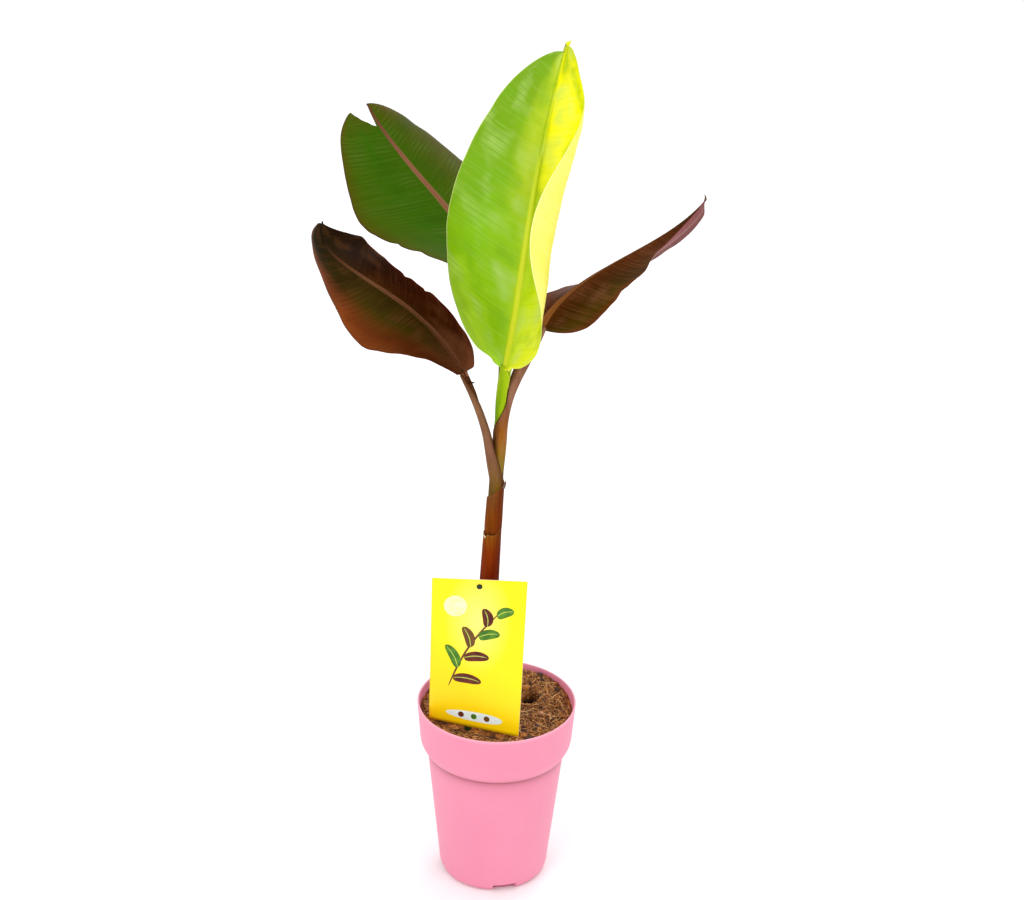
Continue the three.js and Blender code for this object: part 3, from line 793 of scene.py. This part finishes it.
def crumb_form():
    """The corners and faces of a small icosahedron."""
    golden = (1 + sqrt(5)) / 2
    signs = [(a, b) for a in (-1, 1) for b in (-1, 1)]
    corners = unit(np.array([np.roll((0, a, b * golden), shift) for shift in (0, 2, 1) for a, b in signs]))
    near = np.linalg.norm(corners[:, None] - corners, axis=-1) < 1.1
    faces = [
        [a, b, c] for a in range(12) for b in range(a) for c in range(b)
        if near[a, b] and near[b, c] and near[a, c]
    ]
    return corners, [face if np.linalg.det(corners[face]) > 0 else face[::-1] for face in faces]


def soil_crumbs():
    """Crumbs and chips of peat and bark on the soil."""
    random = np.random.default_rng(CRUMBS.seed)
    corners, faces = crumb_form()
    x, y = scattered(random, CRUMBS.count, CRUMBS.inset)
    size = random.gamma(*CRUMBS.size, CRUMBS.count) + CRUMBS.smallest
    kinds = random.choice(3, CRUMBS.count, p=CRUMBS.kinds)
    x, y, size, kinds = np.hstack([(x, y, size, kinds), np.transpose(CHIPS)])
    places = np.stack([x, y, soil_height(x, y) + CRUMBS.above * size], -1)
    shape = Shape()
    for index in np.flatnonzero(clear_of_plant(places[:, None])):
        stretch = size[index] * random.uniform(*CRUMBS.stretch, 3) * CRUMBS.flatness
        wobble = corners * random.uniform(*CRUMBS.wobble, (len(corners), 1)) * stretch
        turned = random.uniform(0, CIRCLE)
        spin = ((cos(turned), sin(turned), 0), (-sin(turned), cos(turned), 0), (0, 0, 1))
        shape.add(wobble @ spin + places[index], faces, int(kinds[index]))
    colours = (
        ("crumb_tan", "c48438", "9c5c20"), ("crumb_brown", "8c5424", "6a3c16"),
        ("crumb_dark", "4a2c12", "301a0a"), ("chip_pale", "c8946c", "a06c48"),
    )
    shape.piece("soil_crumbs", [speck_material(*colour) for colour in colours], "soil")


# Card

def card_edge(middle, turn, width):
    """The start of a level edge of the card and the run to its end."""
    run = width * np.array((cos(radians(turn)), sin(radians(turn)), 0))
    return np.array(middle, float) - run / 2, run


def card_points(across, up, lift=0):
    """Points at shares across and up the card, lifted off its middle towards the front."""
    across, up = (share[..., None] for share in np.broadcast_arrays(across, up))
    foot_start, foot_run = card_edge(LABEL.foot, LABEL.foot_turn, LABEL.foot_width)
    top_start, top_run = card_edge(LABEL.top, LABEL.top_turn, LABEL.width)
    foot = foot_start + across * foot_run
    top = top_start + across * top_run
    front = unit(np.cross(lerp(foot_run, top_run, up), top - foot))
    return lerp(foot, top, up) + lift * front


def card():
    """The card's two faces and edges, with a round punched hole."""
    block = 2 * LABEL.hole
    near = np.linspace(-block, block, 5)
    left = np.linspace(0, 0.5 - block / LABEL.width, 14)[:-1]
    below = np.linspace(0, HOLE_UP - block / CARD_HEIGHT, 44)[:-1]
    columns = np.concatenate([left, 0.5 + near / LABEL.width, 1 - left[::-1]])
    rows = np.concatenate([below, HOLE_UP + near / CARD_HEIGHT, [1]])
    up, across = np.meshgrid(rows, columns, indexing="ij")
    grid = np.arange(up.size).reshape(up.shape)
    opened = grid[len(below):len(below) + len(near), len(left):len(left) + len(near)]
    loop = opened.ravel()[grid_outline(*opened.shape)].tolist()
    turn = np.arctan2((up.flat[loop] - HOLE_UP) * CARD_HEIGHT, (across.flat[loop] - 0.5) * LABEL.width)
    across = np.append(across, 0.5 + LABEL.hole * np.cos(turn) / LABEL.width)
    up = np.append(up, HOLE_UP + LABEL.hole * np.sin(turn) / CARD_HEIGHT)
    ring = list(range(grid.size, grid.size + len(loop)))
    cut_away = set(opened[:-1, :-1].ravel().tolist())
    quads = [face for face in grid_faces(*grid.shape) if face[0] not in cut_away]
    quads += [(a, b, d, c) for (a, b), (c, d) in zip(pairs(loop), pairs(ring))]
    values = {"card_across": across, "card_up": up}
    half = LABEL.thickness / 2
    shape = Shape()
    front = shape.add(card_points(across, up, half), quads, 0, **values)
    back = shape.add(card_points(across, up, -half), flipped(quads), 1, **values)
    shape.hem(front, back, grid_outline(*grid.shape), 1)
    shape.hem(front, back, ring[::-1], 1)
    return shape


def stake(shape):
    """The dark stick behind the card, from its point in the soil to its knob in the hole."""
    angle = radians(LABEL.foot_turn)
    right = np.array((cos(angle), sin(angle), 0))
    front = np.cross(right, (0, 0, 1))
    top = card_points(0.5, HOLE_UP, -STAKE.behind)
    ahead = unit(card_points(STAKE.foot_across, 0, -STAKE.behind) - top)
    reach, width = np.array(STAKE.sections).T[..., None]
    turn = around(STAKE.sides)
    corner_x, corner_y = (np.sign(wave) * np.abs(wave) ** 0.5 for wave in (np.cos(turn), np.sin(turn)))
    points = top + reach[..., None] * ahead + right * (corner_x * width)[..., None]
    points = points + front * (corner_y * STAKE.half_depth)[:, None]
    values = {"card_across": 0.5, "card_up": 0}
    shape.tube(points, 2, **values)
    knob = np.linspace(0, 1, 8)
    radii = STAKE.knob_radius * np.sqrt(np.clip(1.001 - knob ** 4, 0, 1))
    shape.tube(rings(top + front * STAKE.knob_length * knob[:, None], radii, 20), 2, **values)


def label():
    shape = card()
    stake(shape)
    back = print_material("card_back", "fdf6d2", "f5ecc0")
    dark = print_material("stake_green", "24391a", "182812")
    shape.piece("label_body", [card_material(), back, dark], "label_card", ("label",))


def motif(shape, start, length, bow, angle, half_widths, lift, kind, rows=24):
    """A flat printed shape along a straight or bowed line, in millimetres on the card."""
    angle = radians(angle)
    line = np.linspace(0, 1, rows)[:, None]
    share = np.linspace(-1, 1, 7)
    outline = np.sqrt(np.clip(1 - np.abs(2 * line ** 0.85 - 1) ** 2.2, 0, 1))
    aside = bow * np.sin(pi * line) + outline * share * np.where(share < 0, *half_widths)
    ahead = line * length
    across = (start[0] + aside * cos(angle) - ahead * sin(angle)) / LABEL.width
    up = (start[1] + aside * sin(angle) + ahead * cos(angle)) / CARD_HEIGHT
    shape.add(card_points(across, up, lift), grid_faces(*across.shape), kind)


def disc(shape, middle, radius, lift, kind):
    """A flat printed disc on the card."""
    turn = around(28)
    reach = radius * np.array((0.01, 0.5, 1))[:, None]
    across = (middle[0] + reach * np.cos(turn)) / LABEL.width
    up = (middle[1] + reach * np.sin(turn)) / CARD_HEIGHT
    shape.add(card_points(across, up, lift), flipped(grid_faces(*across.shape, True)), kind)


def card_print():
    """A plain design of its own: a slanting sprig, a pale sun and a strip of dots."""
    shape = Shape()
    first, second, third = (LABEL.thickness / 2 + 0.06 * layer for layer in (1, 2, 3))
    disc(shape, (25, 140), 12, first, 0)
    motif(shape, (SPRIG.x, SPRIG.y), SPRIG.length, SPRIG.bow, SPRIG.angle, (1.1, 1.1), first, 3, 40)
    for index, kind in enumerate(SPRIG.leaf_kinds):
        share = 0.12 + 0.13 * index
        side = 1 if index % 2 else -1
        across = SPRIG.x + SPRIG.length * share * SPRIG.across - 6 * sin(pi * share)
        start = (across, SPRIG.y + SPRIG.length * share * SPRIG.up)
        length = 31 - 2 * index
        turn = SPRIG.angle + side * (62 - 4 * index)
        motif(shape, start, length, 2 * side, turn, (5.2, 6), second, kind)
        motif(shape, start, length * 0.94, 2 * side, turn, (0.5, 0.5), third, 4)
    motif(shape, (80, 13), 62, 0, 90, (5.5, 5.5), first, 5, 30)
    for index in range(3):
        disc(shape, (35 + 14 * index, 13), 3.2, second, index + 1)
    inks = (
        ("print_pale", "fff9c4", "fff3a0"), ("print_maroon", "4c1a10", "6b2c1a"),
        ("print_green", "3a6a1a", "568a24"), ("print_brown", "5c3816", "744c22"),
        ("print_lime", "a9c04a", "bccf62"), ("print_white", "e8f4ea", "d8ecec"),
    )
    shape.piece("label_print", [print_material(*ink) for ink in inks], "label_card")


# Stem and sheaths

def stem_share(height):
    return (np.asarray(height, float) - STEM.ground) / (STEM.fork - STEM.ground)


def stem_axis(height):
    share = stem_share(height)
    return np.stack([blend(STEM.axis_x, share), blend(STEM.axis_y, share), np.asarray(height, float)], -1)


def stem_radius(height):
    flare = STEM.flare * np.exp((STEM.ground - height) / STEM.flare_fade)
    return lerp(STEM.radius_low, STEM.radius_fork, stem_share(height)) + flare


def ribs(turn, height, seed, count, depth):
    """Fine lengthwise ribs that wander slowly up a stalk."""
    drift = 0.5 * noise(turn * 2, height / 60, seed)
    return depth * (np.cos(turn * count + drift * 4) + 0.8 * noise(turn * count / 3, height / 26, seed + 1))


def nib(shape, start, lean, length, radius, kind, **values):
    """A small tapering, slightly bent stub."""
    lean = unit(np.array(lean, float))
    share = np.linspace(0, 1, 9)[:, None]
    bend = np.cross(lean, (0.3, 0.8, 0.2))
    path = start + lean * length * share + bend * length * 0.25 * share ** 2
    shape.tube(rings(path, radius * (1.02 - share[:, 0] ** 1.3), 8), kind, **values)


def pseudostem():
    """The stem's core, ribbed lengthwise, with low rings where old sheaths were."""
    height = np.linspace(STEM.low, STEM.core_top, STEM.rows)[:, None]
    turn = around(STEM.sides)
    scars = sum(0.5 * np.exp(-((height - scar - 2 * np.sin(turn + scar)) / 1.2) ** 2) for scar in STEM.scars)
    radius = stem_radius(height) - STEM.inset + ribs(turn, height, 81, 26, 0.12) + scars
    shape = Shape()
    shape.tube(stem_axis(height) + spun(radius, turn, 0), inside=0, lip=0, lee=0)
    heights = ((197, "3c1a08"), (230, "561a04"), (420, "703a08"), (520, "7c5c0a"))
    skin = stalk_material("stem_skin", heights, "4a200c", "3c1406", "783c0c")
    shape.piece("stem_core", [skin], "stem", ("pseudostem",))


def wrapped_sheath(low, high, outer, end, top_edge, seed, tucked=False):
    """A sheet wrapped once round the stem, thicker towards its free edge."""
    share = np.linspace(0, 1, SHEATH.columns)[None]
    turn = radians(end) - CIRCLE * SHEATH.lap * (1 - share)
    rise = np.linspace(0, 1, SHEATH.rows)[:, None] ** 0.9
    top = high + top_edge(turn)
    height = low + (top - low) * rise
    axis = stem_axis(height)
    base = stem_radius(height)
    tuck = lerp(SHEATH.tuck, 1, smooth((height - low) / SHEATH.tuck_run)) if tucked else 1
    skin = base + lerp(*outer, share) * tuck + ribs(turn, height, seed, 24, 0.1)
    lining = base + (SHEATH.lining + (outer[1] - outer[0]) * share * 0.6) * tuck
    free = np.exp(-(1 - share) * CIRCLE * 10)
    # The cut end is marked for its paler colour, and the right side for painted shade.
    values = {"cut": np.exp(-(top - height) / 1.3), "lee": smooth((np.cos(turn) + 0.2) / 0.8)}
    front_values = {"inside": 0, "lip": free, **values}
    back_values = {"inside": 1, "lip": 0, **values}
    shape = Shape()
    shape.sheet(axis + spun(skin, turn, 0), axis + spun(lining, turn, 0), (0, 0), front_values, back_values)
    return shape


def lower_edge(turn):
    """The lower sheath's torn upper edge, with a gap and a climb."""
    slant = 2.5 * np.cos(turn - radians(200))
    ragged = 0.9 * noise(turn * 3.2, 0.5, 91) + 0.5 * noise(turn * 9, 0.5, 92)
    return slant + ragged - 4.5 * near_angle(turn, -140, 0.16) + 12 * near_angle(turn, -28, 0.6)


def upper_edge(turn):
    """The upper sheath's slanting upper edge, with a point."""
    slant = 8 * np.cos(turn + radians(20))
    return slant + 0.5 * noise(turn * 4, 0.5, 93) + 6 * near_angle(turn, -22, 0.2)


def sheaths():
    lower = wrapped_sheath(222, 407, (1, 1.9), -37, lower_edge, 94)
    nib(lower, stem_axis(404) + (-6.6, -5.4, 0), (-0.5, -0.3, 0.9), 6, 1.1, 1, inside=0, lip=0, cut=1, lee=0)
    heights = ((222, "3c1606"), (300, "561604"), (360, "6c1602"), (390, "803002"), (407, "8e520c"))
    red = sheath_material("sheath_red", heights)
    pale = print_material("torn_pale", "e8dcc8", "cbb593")
    lower.piece("sheath_lower_wrap", [red, pale], "sheath", ("sheath_lower",))
    upper = wrapped_sheath(398, 455, (1, 1.5), 10, upper_edge, 95, True)
    nib(upper, stem_axis(461) + (7.2, -3.2, 0), (0.5, -0.2, 0.85), 9, 2.3, 1, inside=0, lip=0, cut=0, lee=0)
    # The upper sheath is darkest low down, where it is tucked into the lower sheath: painted shade.
    heights = ((398, "1c0802"), (407, "2a0e04"), (413, "743804"), (430, "763c06"), (455, "744620"))
    orange = sheath_material("sheath_orange", heights)
    dark = print_material("stub_dark", "7a5a4c", "54342a")
    upper.piece("sheath_upper_wrap", [orange, dark], "sheath", ("sheath_upper",))


# Leaf stalks

def leaf_frame(leaf, share):
    """Points of the midrib and its along, up and right directions."""
    share = share[..., None]
    headings = np.array(leaf.headings, float)
    faces = np.array(leaf.faces, float)
    steps = np.linspace(0, 1, 481)
    middles = (steps[1:] + steps[:-1]) / 2
    moves = unit(blend(headings, middles[:, None])) * leaf.length / len(middles)
    path = np.vstack([np.zeros(3), np.cumsum(moves, axis=0)]) + leaf.base
    point = np.concatenate([np.interp(share, steps, line) for line in path.T], -1)
    along = unit(blend(headings, share))
    up = square_to(lerp(faces[0], faces[1], share), along)
    return point, along, up, np.cross(along, up)


def stalk_path(leaf, low):
    """The stalk's middle line, up the stem and out to the blade, and the way up at its end."""
    point, along, up, _ = (part[0] for part in leaf_frame(leaf, np.zeros(1)))
    end = point - STALK.sunk * leaf.neck * up + STALK.overlap * along
    foot = np.array(leaf.foot, float)
    rise = unit(np.array(leaf.rise, float))
    handle = STALK.handle * np.linalg.norm(end - foot)
    limb = bezier((foot, foot + rise * handle, end - along * handle, end), STALK.limb_rows)
    share = np.linspace(0, 1, STALK.sheath_rows)[:-1, None]
    below = stem_axis(lerp(low, foot[2], share[:, 0])) + (foot - stem_axis(foot[2])) * share ** 2
    return np.vstack([below, limb]), up


def stalk(name, material, slot):
    """A sheath round the stem that opens, leaves it and closes into a grooved stalk."""
    keys = STALKS[name]
    path, top_up = stalk_path(LEAVES[name], keys.radius[0][0])
    height = path[:, 2:]
    tangent = unit(np.gradient(path, axis=0))
    turned = smooth((height - keys.turn[0]) / (keys.turn[1] - keys.turn[0]))
    opening = square_to(lerp(np.array(keys.opening, float), top_up, turned), tangent)
    side = np.cross(tangent, opening)
    radius = soft_keys(height, keys.radius)
    gap = np.radians(soft_keys(height, keys.gap))
    hollow = soft_keys(height, keys.hollow)
    share = np.linspace(0, 1, STALK.outer)
    turn = gap + (CIRCLE - 2 * gap) * share
    outer = radius + ribs(turn, height, keys.seed, 20, 0.06) * smooth(np.sin(pi * share) * 4)
    inner = radius - lerp(*STALK.wall, hollow)
    walk = np.linspace(-1, 1, STALK.inner)
    back = CIRCLE - gap - (pi - gap) * (walk + 1)
    dip = 0.2 * radius * (1 + np.cos(pi * walk))
    inner_x = lerp(inner * np.sin(gap) * walk, inner * np.sin(back), hollow)
    inner_y = lerp(inner * np.cos(gap) - dip, inner * np.cos(back), hollow)
    x = np.hstack([outer * np.sin(turn), inner_x])[..., None]
    y = np.hstack([outer * np.cos(turn), inner_y])[..., None]
    points = path[:, None] + side[:, None] * x + opening[:, None] * y
    edge_share = np.append(np.minimum(share, 1 - share) * 2, 1 - np.abs(walk))
    values = {
        "lip": np.exp(-(edge_share / STALK.lip) ** 2),
        "inside": np.repeat((0, 1), (len(share), len(walk))) * lerp(keys.groove, 1, hollow),
        # Painted light and shade: marks the side towards the opening, and the inner face, for a tint of the
        # inner colour standing in for how light falls on the stalk.
        "lee": np.hstack([smooth((np.cos(turn) + 0.35) / 1.2), np.ones_like(inner_x)]),
    }
    shape = Shape()
    shape.tube(points, flip=True, **values)
    if keys.scar:
        start = path[np.searchsorted(path[:, 2], keys.scar)] + (2.6, -2, 0)
        nib(shape, start, (0.9, -0.2, -0.1), 6, 1.5, 0, inside=0, lip=1, lee=1)
    shape.piece(f"stalk_{name}", [material], slot, (f"petiole_{name}",))


def stalks():
    heights = ((500, "689004"), (560, "709804"), (591, "7ea604"))
    green = stalk_material("stalk_green", heights, "98b40a", "b4c628", "789424")
    heights = ((438, "646004"), (462, "6c4e08"), (500, "7c543a"), (560, "846040"), (640, "6e442a"))
    brown = stalk_material("stalk_brown", heights, "543014", "3c1808", "86604e")
    heights = (
        (452, "6a6402"), (490, "826a02"), (512, "905604"), (530, "8c5010"), (555, "885c44"), (625, "8e6650"),
    )
    tawny = stalk_material("stalk_tawny", heights, "523216", "481808", "94705c")
    stalk("centre", green, "petiole_green")
    stalk("back", brown, "petiole_brown")
    stalk("left", brown, "petiole_brown")
    stalk("right", tawny, "petiole_brown")


# Leaf blades

def rib_radius(leaf, share):
    taper = lerp(0.2, 1, smooth((1 - share) / 0.05)) * lerp(0.6, 1, smooth(share / 0.05))
    return lerp(leaf.neck, BLADE.rib_tip, share ** 0.8) * taper


def half_width(leaf, side, share):
    """The blade's half width on one side, with its nicks."""
    widest = side.widest
    share = np.minimum(share / side.end, 1)
    is_base = share < widest
    reach = np.where(is_base, (widest - share) / widest, (share - widest) / (1 - widest))
    width = side.width * np.sqrt(np.clip(1 - reach ** np.where(is_base, *side.fullness), 0, 1))
    width = width * smooth((share - leaf.bare) / 0.025 + 1) * smooth((1 - share) / leaf.point)
    for place, span, depth in side.nicks:
        width = width * (1 - depth * np.exp(-((share - place) / span) ** 2))
    return width


def torn_end(tear, across):
    """How far along the blade runs at each place across it, less where its tip is torn away."""
    off = np.clip(-across, 0, 1)
    inner = 1 - (1 - tear.along) * off / tear.beside
    outer = tear.along + tear.lobe * (1 - np.clip((1 - off) / (1 - tear.beside), 0, 1) ** 2.3)
    return np.where(off < tear.beside, inner, outer + tear.ragged * noise(off * 14, 0.5, 101))


def sheet_normals(points):
    return unit(np.cross(np.gradient(points, axis=1), np.gradient(points, axis=0)))


def blade_sheet(leaf):
    """Grids over a blade: shares along and across, half width, way from the rib, and points."""
    line = np.linspace(0, 1, leaf.rows)
    line = line - BLADE.crowding * np.sin(CIRCLE * line) / CIRCLE
    left, right = (np.linspace(0, 1, count + 1) ** 1.5 for count in leaf.columns)
    share, across = np.meshgrid(line, np.append(-left[:0:-1], right), indexing="ij")
    if leaf.tear:
        share = share * torn_end(leaf.tear, across)
    off = np.abs(across)

    def by_side(of_side):
        return np.where(across < 0, *(of_side(side) for side in leaf.sides))

    lamina = by_side(lambda side: half_width(leaf, side, share))
    uneven = 1 + BLADE.uneven * noise(share * 22, np.sign(across) * 3.5 + 9, leaf.seed) * smooth(off * 2)
    reach = off * np.hypot(lamina * uneven, rib_radius(leaf, share))
    bend = np.radians(by_side(lambda side: blend(side.curl, share))) * off
    bend = np.where(np.abs(bend) < 1e-6, 1e-6, bend)
    chord = reach * 2 * np.sin(bend / 2) / bend
    angle = np.radians(by_side(lambda side: blend(side.fold, share))) + bend / 2
    out = np.sign(across) * chord * np.cos(angle)
    lift = chord * np.sin(angle)
    middle, _, up, aside = leaf_frame(leaf, share)
    points = middle + out[..., None] * aside + lift[..., None] * up
    distance = share * leaf.length
    swell = leaf.swell * noise(distance / BLADE.swell_run, across * 1.3 + 7, leaf.seed + 1) * smooth(off * 3)
    edge_noise = noise(distance / BLADE.ripple_run, np.sign(across) * 2.5 + 5, leaf.seed + 2)
    ripple = leaf.ripple * edge_noise * off ** 3
    return share, across, lamina, reach, points + sheet_normals(points) * (swell + ripple)[..., None]


def blade(name, materials, slot):
    """A thin leaf with two skins, a grooved or ridged midrib, side veins and a soft margin."""
    leaf = LEAVES[name]
    share, across, lamina, reach, centre = blade_sheet(leaf)
    off = np.abs(across)
    radius = rib_radius(leaf, share)
    distance = share * leaf.length
    slant = BLADE.vein_slant * reach * (1 + 0.4 * off)
    wander = BLADE.vein_wander * noise(distance / BLADE.wander_run, across * 2 + 11, leaf.seed + 3)
    vein = distance - slant + wander
    fade = smooth((reach - 1.2 * radius) / 6) * smooth((1 - off) * 14)
    strength = 0.55 + 0.45 * noise(distance / BLADE.strength_run, across * 2 + 3, leaf.seed + 4)
    corrugation = leaf.vein_depth * fade * strength * np.sin(vein * CIRCLE / leaf.vein_step)
    thick = lerp(BLADE.thickness, BLADE.margin, off ** 6) / 2
    ridged = smooth((leaf.ridge_end + 0.03 - share) / 0.06) if leaf.ridge_end else 0
    rib = lerp(*leaf.rib, np.minimum(share / (leaf.ridge_end or 1), 1))
    crest = 0.5 * rib * np.sqrt(np.clip(1 - (reach / rib) ** 2, 0, 1))
    groove = np.exp(-(reach / (0.45 * rib)) ** 2)
    shoulder = np.exp(-((reach - 0.95 * rib) / (0.3 * rib)) ** 2)
    relief = lerp(rib * (0.16 * shoulder - 0.3 * groove), crest, ridged)
    wide = BLADE.keel * radius
    keel = wide * np.clip(1 - (reach / wide) ** 2, 0, 1) ** 0.65
    normal = sheet_normals(centre)
    upper = centre + normal * (thick + corrugation + relief)[..., None]
    lower = centre - normal * (thick - corrugation + keel)[..., None]
    bare = np.where(share < 0.5, 1 - smooth((lamina - 0.5) / 6), 0)
    ribbed = smooth((1.15 * rib - reach) / (0.3 * rib)) * (ridged if leaf.ridge_end else 1)
    values = {
        "across": (across + 1) / 2, "along": share, "vein": vein, "edge": off * smooth((lamina - 4) / 8),
        "rib": np.maximum(ribbed, bare), "groove": groove,
    }
    shape = Shape()
    shape.sheet(upper, lower, (0, 1), values, values)
    point, ahead, _, _ = (part[0] for part in leaf_frame(leaf, np.array((0.997,))))
    tip = leaf.tip
    plain = {"across": 0.9, "along": 1, "vein": 0, "edge": 0, "rib": 0, "groove": 0}
    nib(shape, point, ahead + tip.lean, tip.length, tip.radius, tip.kind, **plain)
    shape.piece(f"leaf_{name}", materials, slot, (f"blade_{name}",))


def leaves():
    # The centre leaf grows yellow towards its right half: partly its own colour, partly painted light
    # shining through the thin leaf.
    lime = leaf_material(
        "leaf_lime",
        across=(
            (0, "80b404"), (0.2, "84be02"), (0.42, "90c004"), (0.5, "a8ca08"), (0.62, "c4dc02"),
            (1, "e0e204"),
        ),
        ends=((0.45, 0.9, "7a9e04"),), streaks_and_light=("b4d470", "6ca604", 0.2, 0.65), margin=(0.985, "c8dc7c"),
        rib=((0, "c4d010"), (0.45, "d0da28"), (0.66, "b8cc18"), (1, "86a00e")), groove="d8e040",
        hatch=("b4c488", 6.4, 0.45), hatch_span=(0.36, 0.22), gloss=(0.28, 0.42), specular=0.16,
        patches=(
            ((0.3, 0.42), (0.4, 0.65), 0.7, "bcd020"), ((0.5, 0.55), (0.5, 0.68), 1, "fcf60a"),
            ((0.52, 0.6), (0.87, 0.94), 0.6, "c0c80c"), ((0.34, 0.2), (0.4, 0.5), 0.6, "6a9c00"),
            ((0.36, 0.14), (0.3, 0.12), 0.9, "b4e428"),
        ),
    )
    # The centre leaf's rolled underside: its own pale yellow-green, brightened with painted light shining
    # through it.
    lemon = leaf_material(
        "leaf_lemon", across=((0, "c8d850"), (0.5, "d0dc40"), (0.75, "ece64a"), (1, "f4ee70")),
        ends=((0.75, 1.1, "eade10"),), streaks_and_light=("f4f090", "ded61c", 0.3, 0.3), margin=(0.985, "f4f0a4"),
        rib=((0, "ccd85a"), (1, "dadc4a")), groove="ccd85a", hatch=("e8e8c0", 6.4, 0.4),
        gloss=(0.38, 0.5), specular=0.3,
    )
    green = leaf_material(
        "leaf_green",
        across=(
            (0, "4e4a06"), (0.1, "405a04"), (0.3, "345e04"), (0.5, "385a04"), (0.75, "464e02"),
            (1, "4e4004"),
        ),
        ends=((0.88, 1.06, "5c3c14"),), streaks_and_light=("566e24", "284604", 0.3, 0.4), margin=(0.97, "50341a"),
        rib=((0, "986852"), (0.7, "8e5e46"), (1, "5c3422")), groove="784830", hatch=("98a888", 5.2, 0.6),
    )
    mauve = leaf_material(
        "leaf_mauve", across=((0, "6e3e38"), (0.5, "78463e"), (1, "864a4c")),
        ends=((0.8, 1.1, "764040"),), streaks_and_light=("a06a6a", "5e302c", 0.3, 0.3), margin=(0.97, "54241e"),
        rib=((0, "7e4e3a"), (1, "62342a")), groove="7e4e3a", hatch=("c0a8a8", 4.8, 0.5),
        gloss=(0.42, 0.55), specular=0.12,
    )
    # The dark right half is partly its own maroon and partly painted shade, where that half lies in shadow.
    maroon = leaf_material(
        "leaf_maroon",
        across=(
            (0, "7a3c14"), (0.12, "642c0a"), (0.3, "3c3004"), (0.46, "342604"), (0.56, "381804"),
            (0.8, "300e02"), (1, "380e04"),
        ),
        ends=((0.58, 0.88, "1a1402"), (0.26, 0.02, "744428")), streaks_and_light=("6a4020", "240e02", 0.2, 0.35),
        margin=(0.97, "5a200c"), groove="7a4a30", hatch=("a09890", 4.8, 0.5),
        rib=((0, "7a4c32"), (0.1, "88583a"), (0.6, "785034"), (0.78, "50301c"), (0.9, "1e1408")),
        patches=(
            ((0.3, 0.05), (0.52, 0.3), 0.7, "441e08"), ((0.56, 0.7), (0.45, 0.66), 0.7, "180802"),
            ((0.24, 0.06), (0.5, 0.62), 0.5, "84401c"),
        ),
    )
    umber = leaf_material(
        "leaf_umber",
        across=(
            (0, "6e4230"), (0.3, "5c3220"), (0.5, "562808"), (0.7, "402404"), (0.9, "463404"),
            (1, "5c2c0c"),
        ),
        ends=((0.4, 0.85, "5a2c10"), (0.75, 0.95, "44280c")), streaks_and_light=("84523a", "2a1404", 0.35, 0.5),
        margin=(0.97, "6a2c14"), groove="84502c", hatch=("a89890", 4.6, 0.5),
        rib=((0, "9a5c32"), (0.2, "8a5430"), (0.4, "5c3818"), (1, "3c2410")),
    )
    withered = print_material("withered_tip", "6a5c50", "4a3a30", 400)
    blade("centre", [lime, lemon, withered], "leaf_green")
    blade("back", [green, mauve, withered], "leaf_dark_green")
    blade("left", [maroon, mauve, withered], "leaf_red")
    blade("right", [umber, mauve, withered], "leaf_red")


# Stage, light and camera

def floor():
    reach = 15000 * MM
    mesh = bpy.data.meshes.new("floor")
    corners = [(-reach, -reach, 0), (reach, -reach, 0), (reach, reach, 0), (-reach, reach, 0)]
    mesh.from_pydata(corners, [], [(0, 1, 2, 3)])
    pale = mottled_material("studio_floor", "fbfbfb", "fdfdfd", (40, 2), (0.3, 0.7), (0.7, 0.8), (0.02, 0.1))
    mesh.materials.append(pale)
    made = add_object("floor", mesh)


def softbox(name, place, aim, size, power):
    """A square light, with its places and size in metres."""
    data = bpy.data.lights.new(name, "AREA")
    data.shape = "SQUARE"
    data.size = size
    data.energy = power
    made = add_object(name, data)
    made.location = place
    made.rotation_euler = (Vector(aim) - Vector(place)).to_track_quat("-Z", "Y").to_euler()


def lights():
    world = bpy.data.worlds.new("studio")
    world.use_nodes = True
    background = world.node_tree.nodes["Background"]
    background.inputs["Color"].default_value = (1, 1, 1, 1)
    background.inputs["Strength"].default_value = 1.04
    bpy.context.scene.world = world
    bpy.context.scene.view_settings.view_transform = "Standard"
    softbox("key", (-1.7, -2.3, 2.3), (0, 0, 0.5), 1.8, 26)
    softbox("fill", (2.2, -1.6, 1.5), (0, 0, 0.5), 1.8, 10)
    softbox("back", (0.9, 2.2, 2.4), (0, 0, 0.7), 1.6, 18)


def camera():
    data = bpy.data.cameras.new("camera")
    data.sensor_fit = "HORIZONTAL"
    data.sensor_width = CAMERA.sensor
    data.lens = CAMERA.lens
    made = add_object("camera", data)
    place = Matrix.Translation(Vector(CAMERA.place) * MM)
    tilt = Matrix.Rotation(radians(90 - CAMERA.pitch), 4, "X")
    made.matrix_world = place @ tilt @ Matrix.Rotation(radians(CAMERA.roll), 4, "Z")
    bpy.context.scene.camera = made


camera()
lights()
floor()
pot()
soil()
soil_fibres()
soil_crumbs()
label()
card_print()
pseudostem()
sheaths()
stalks()
leaves()
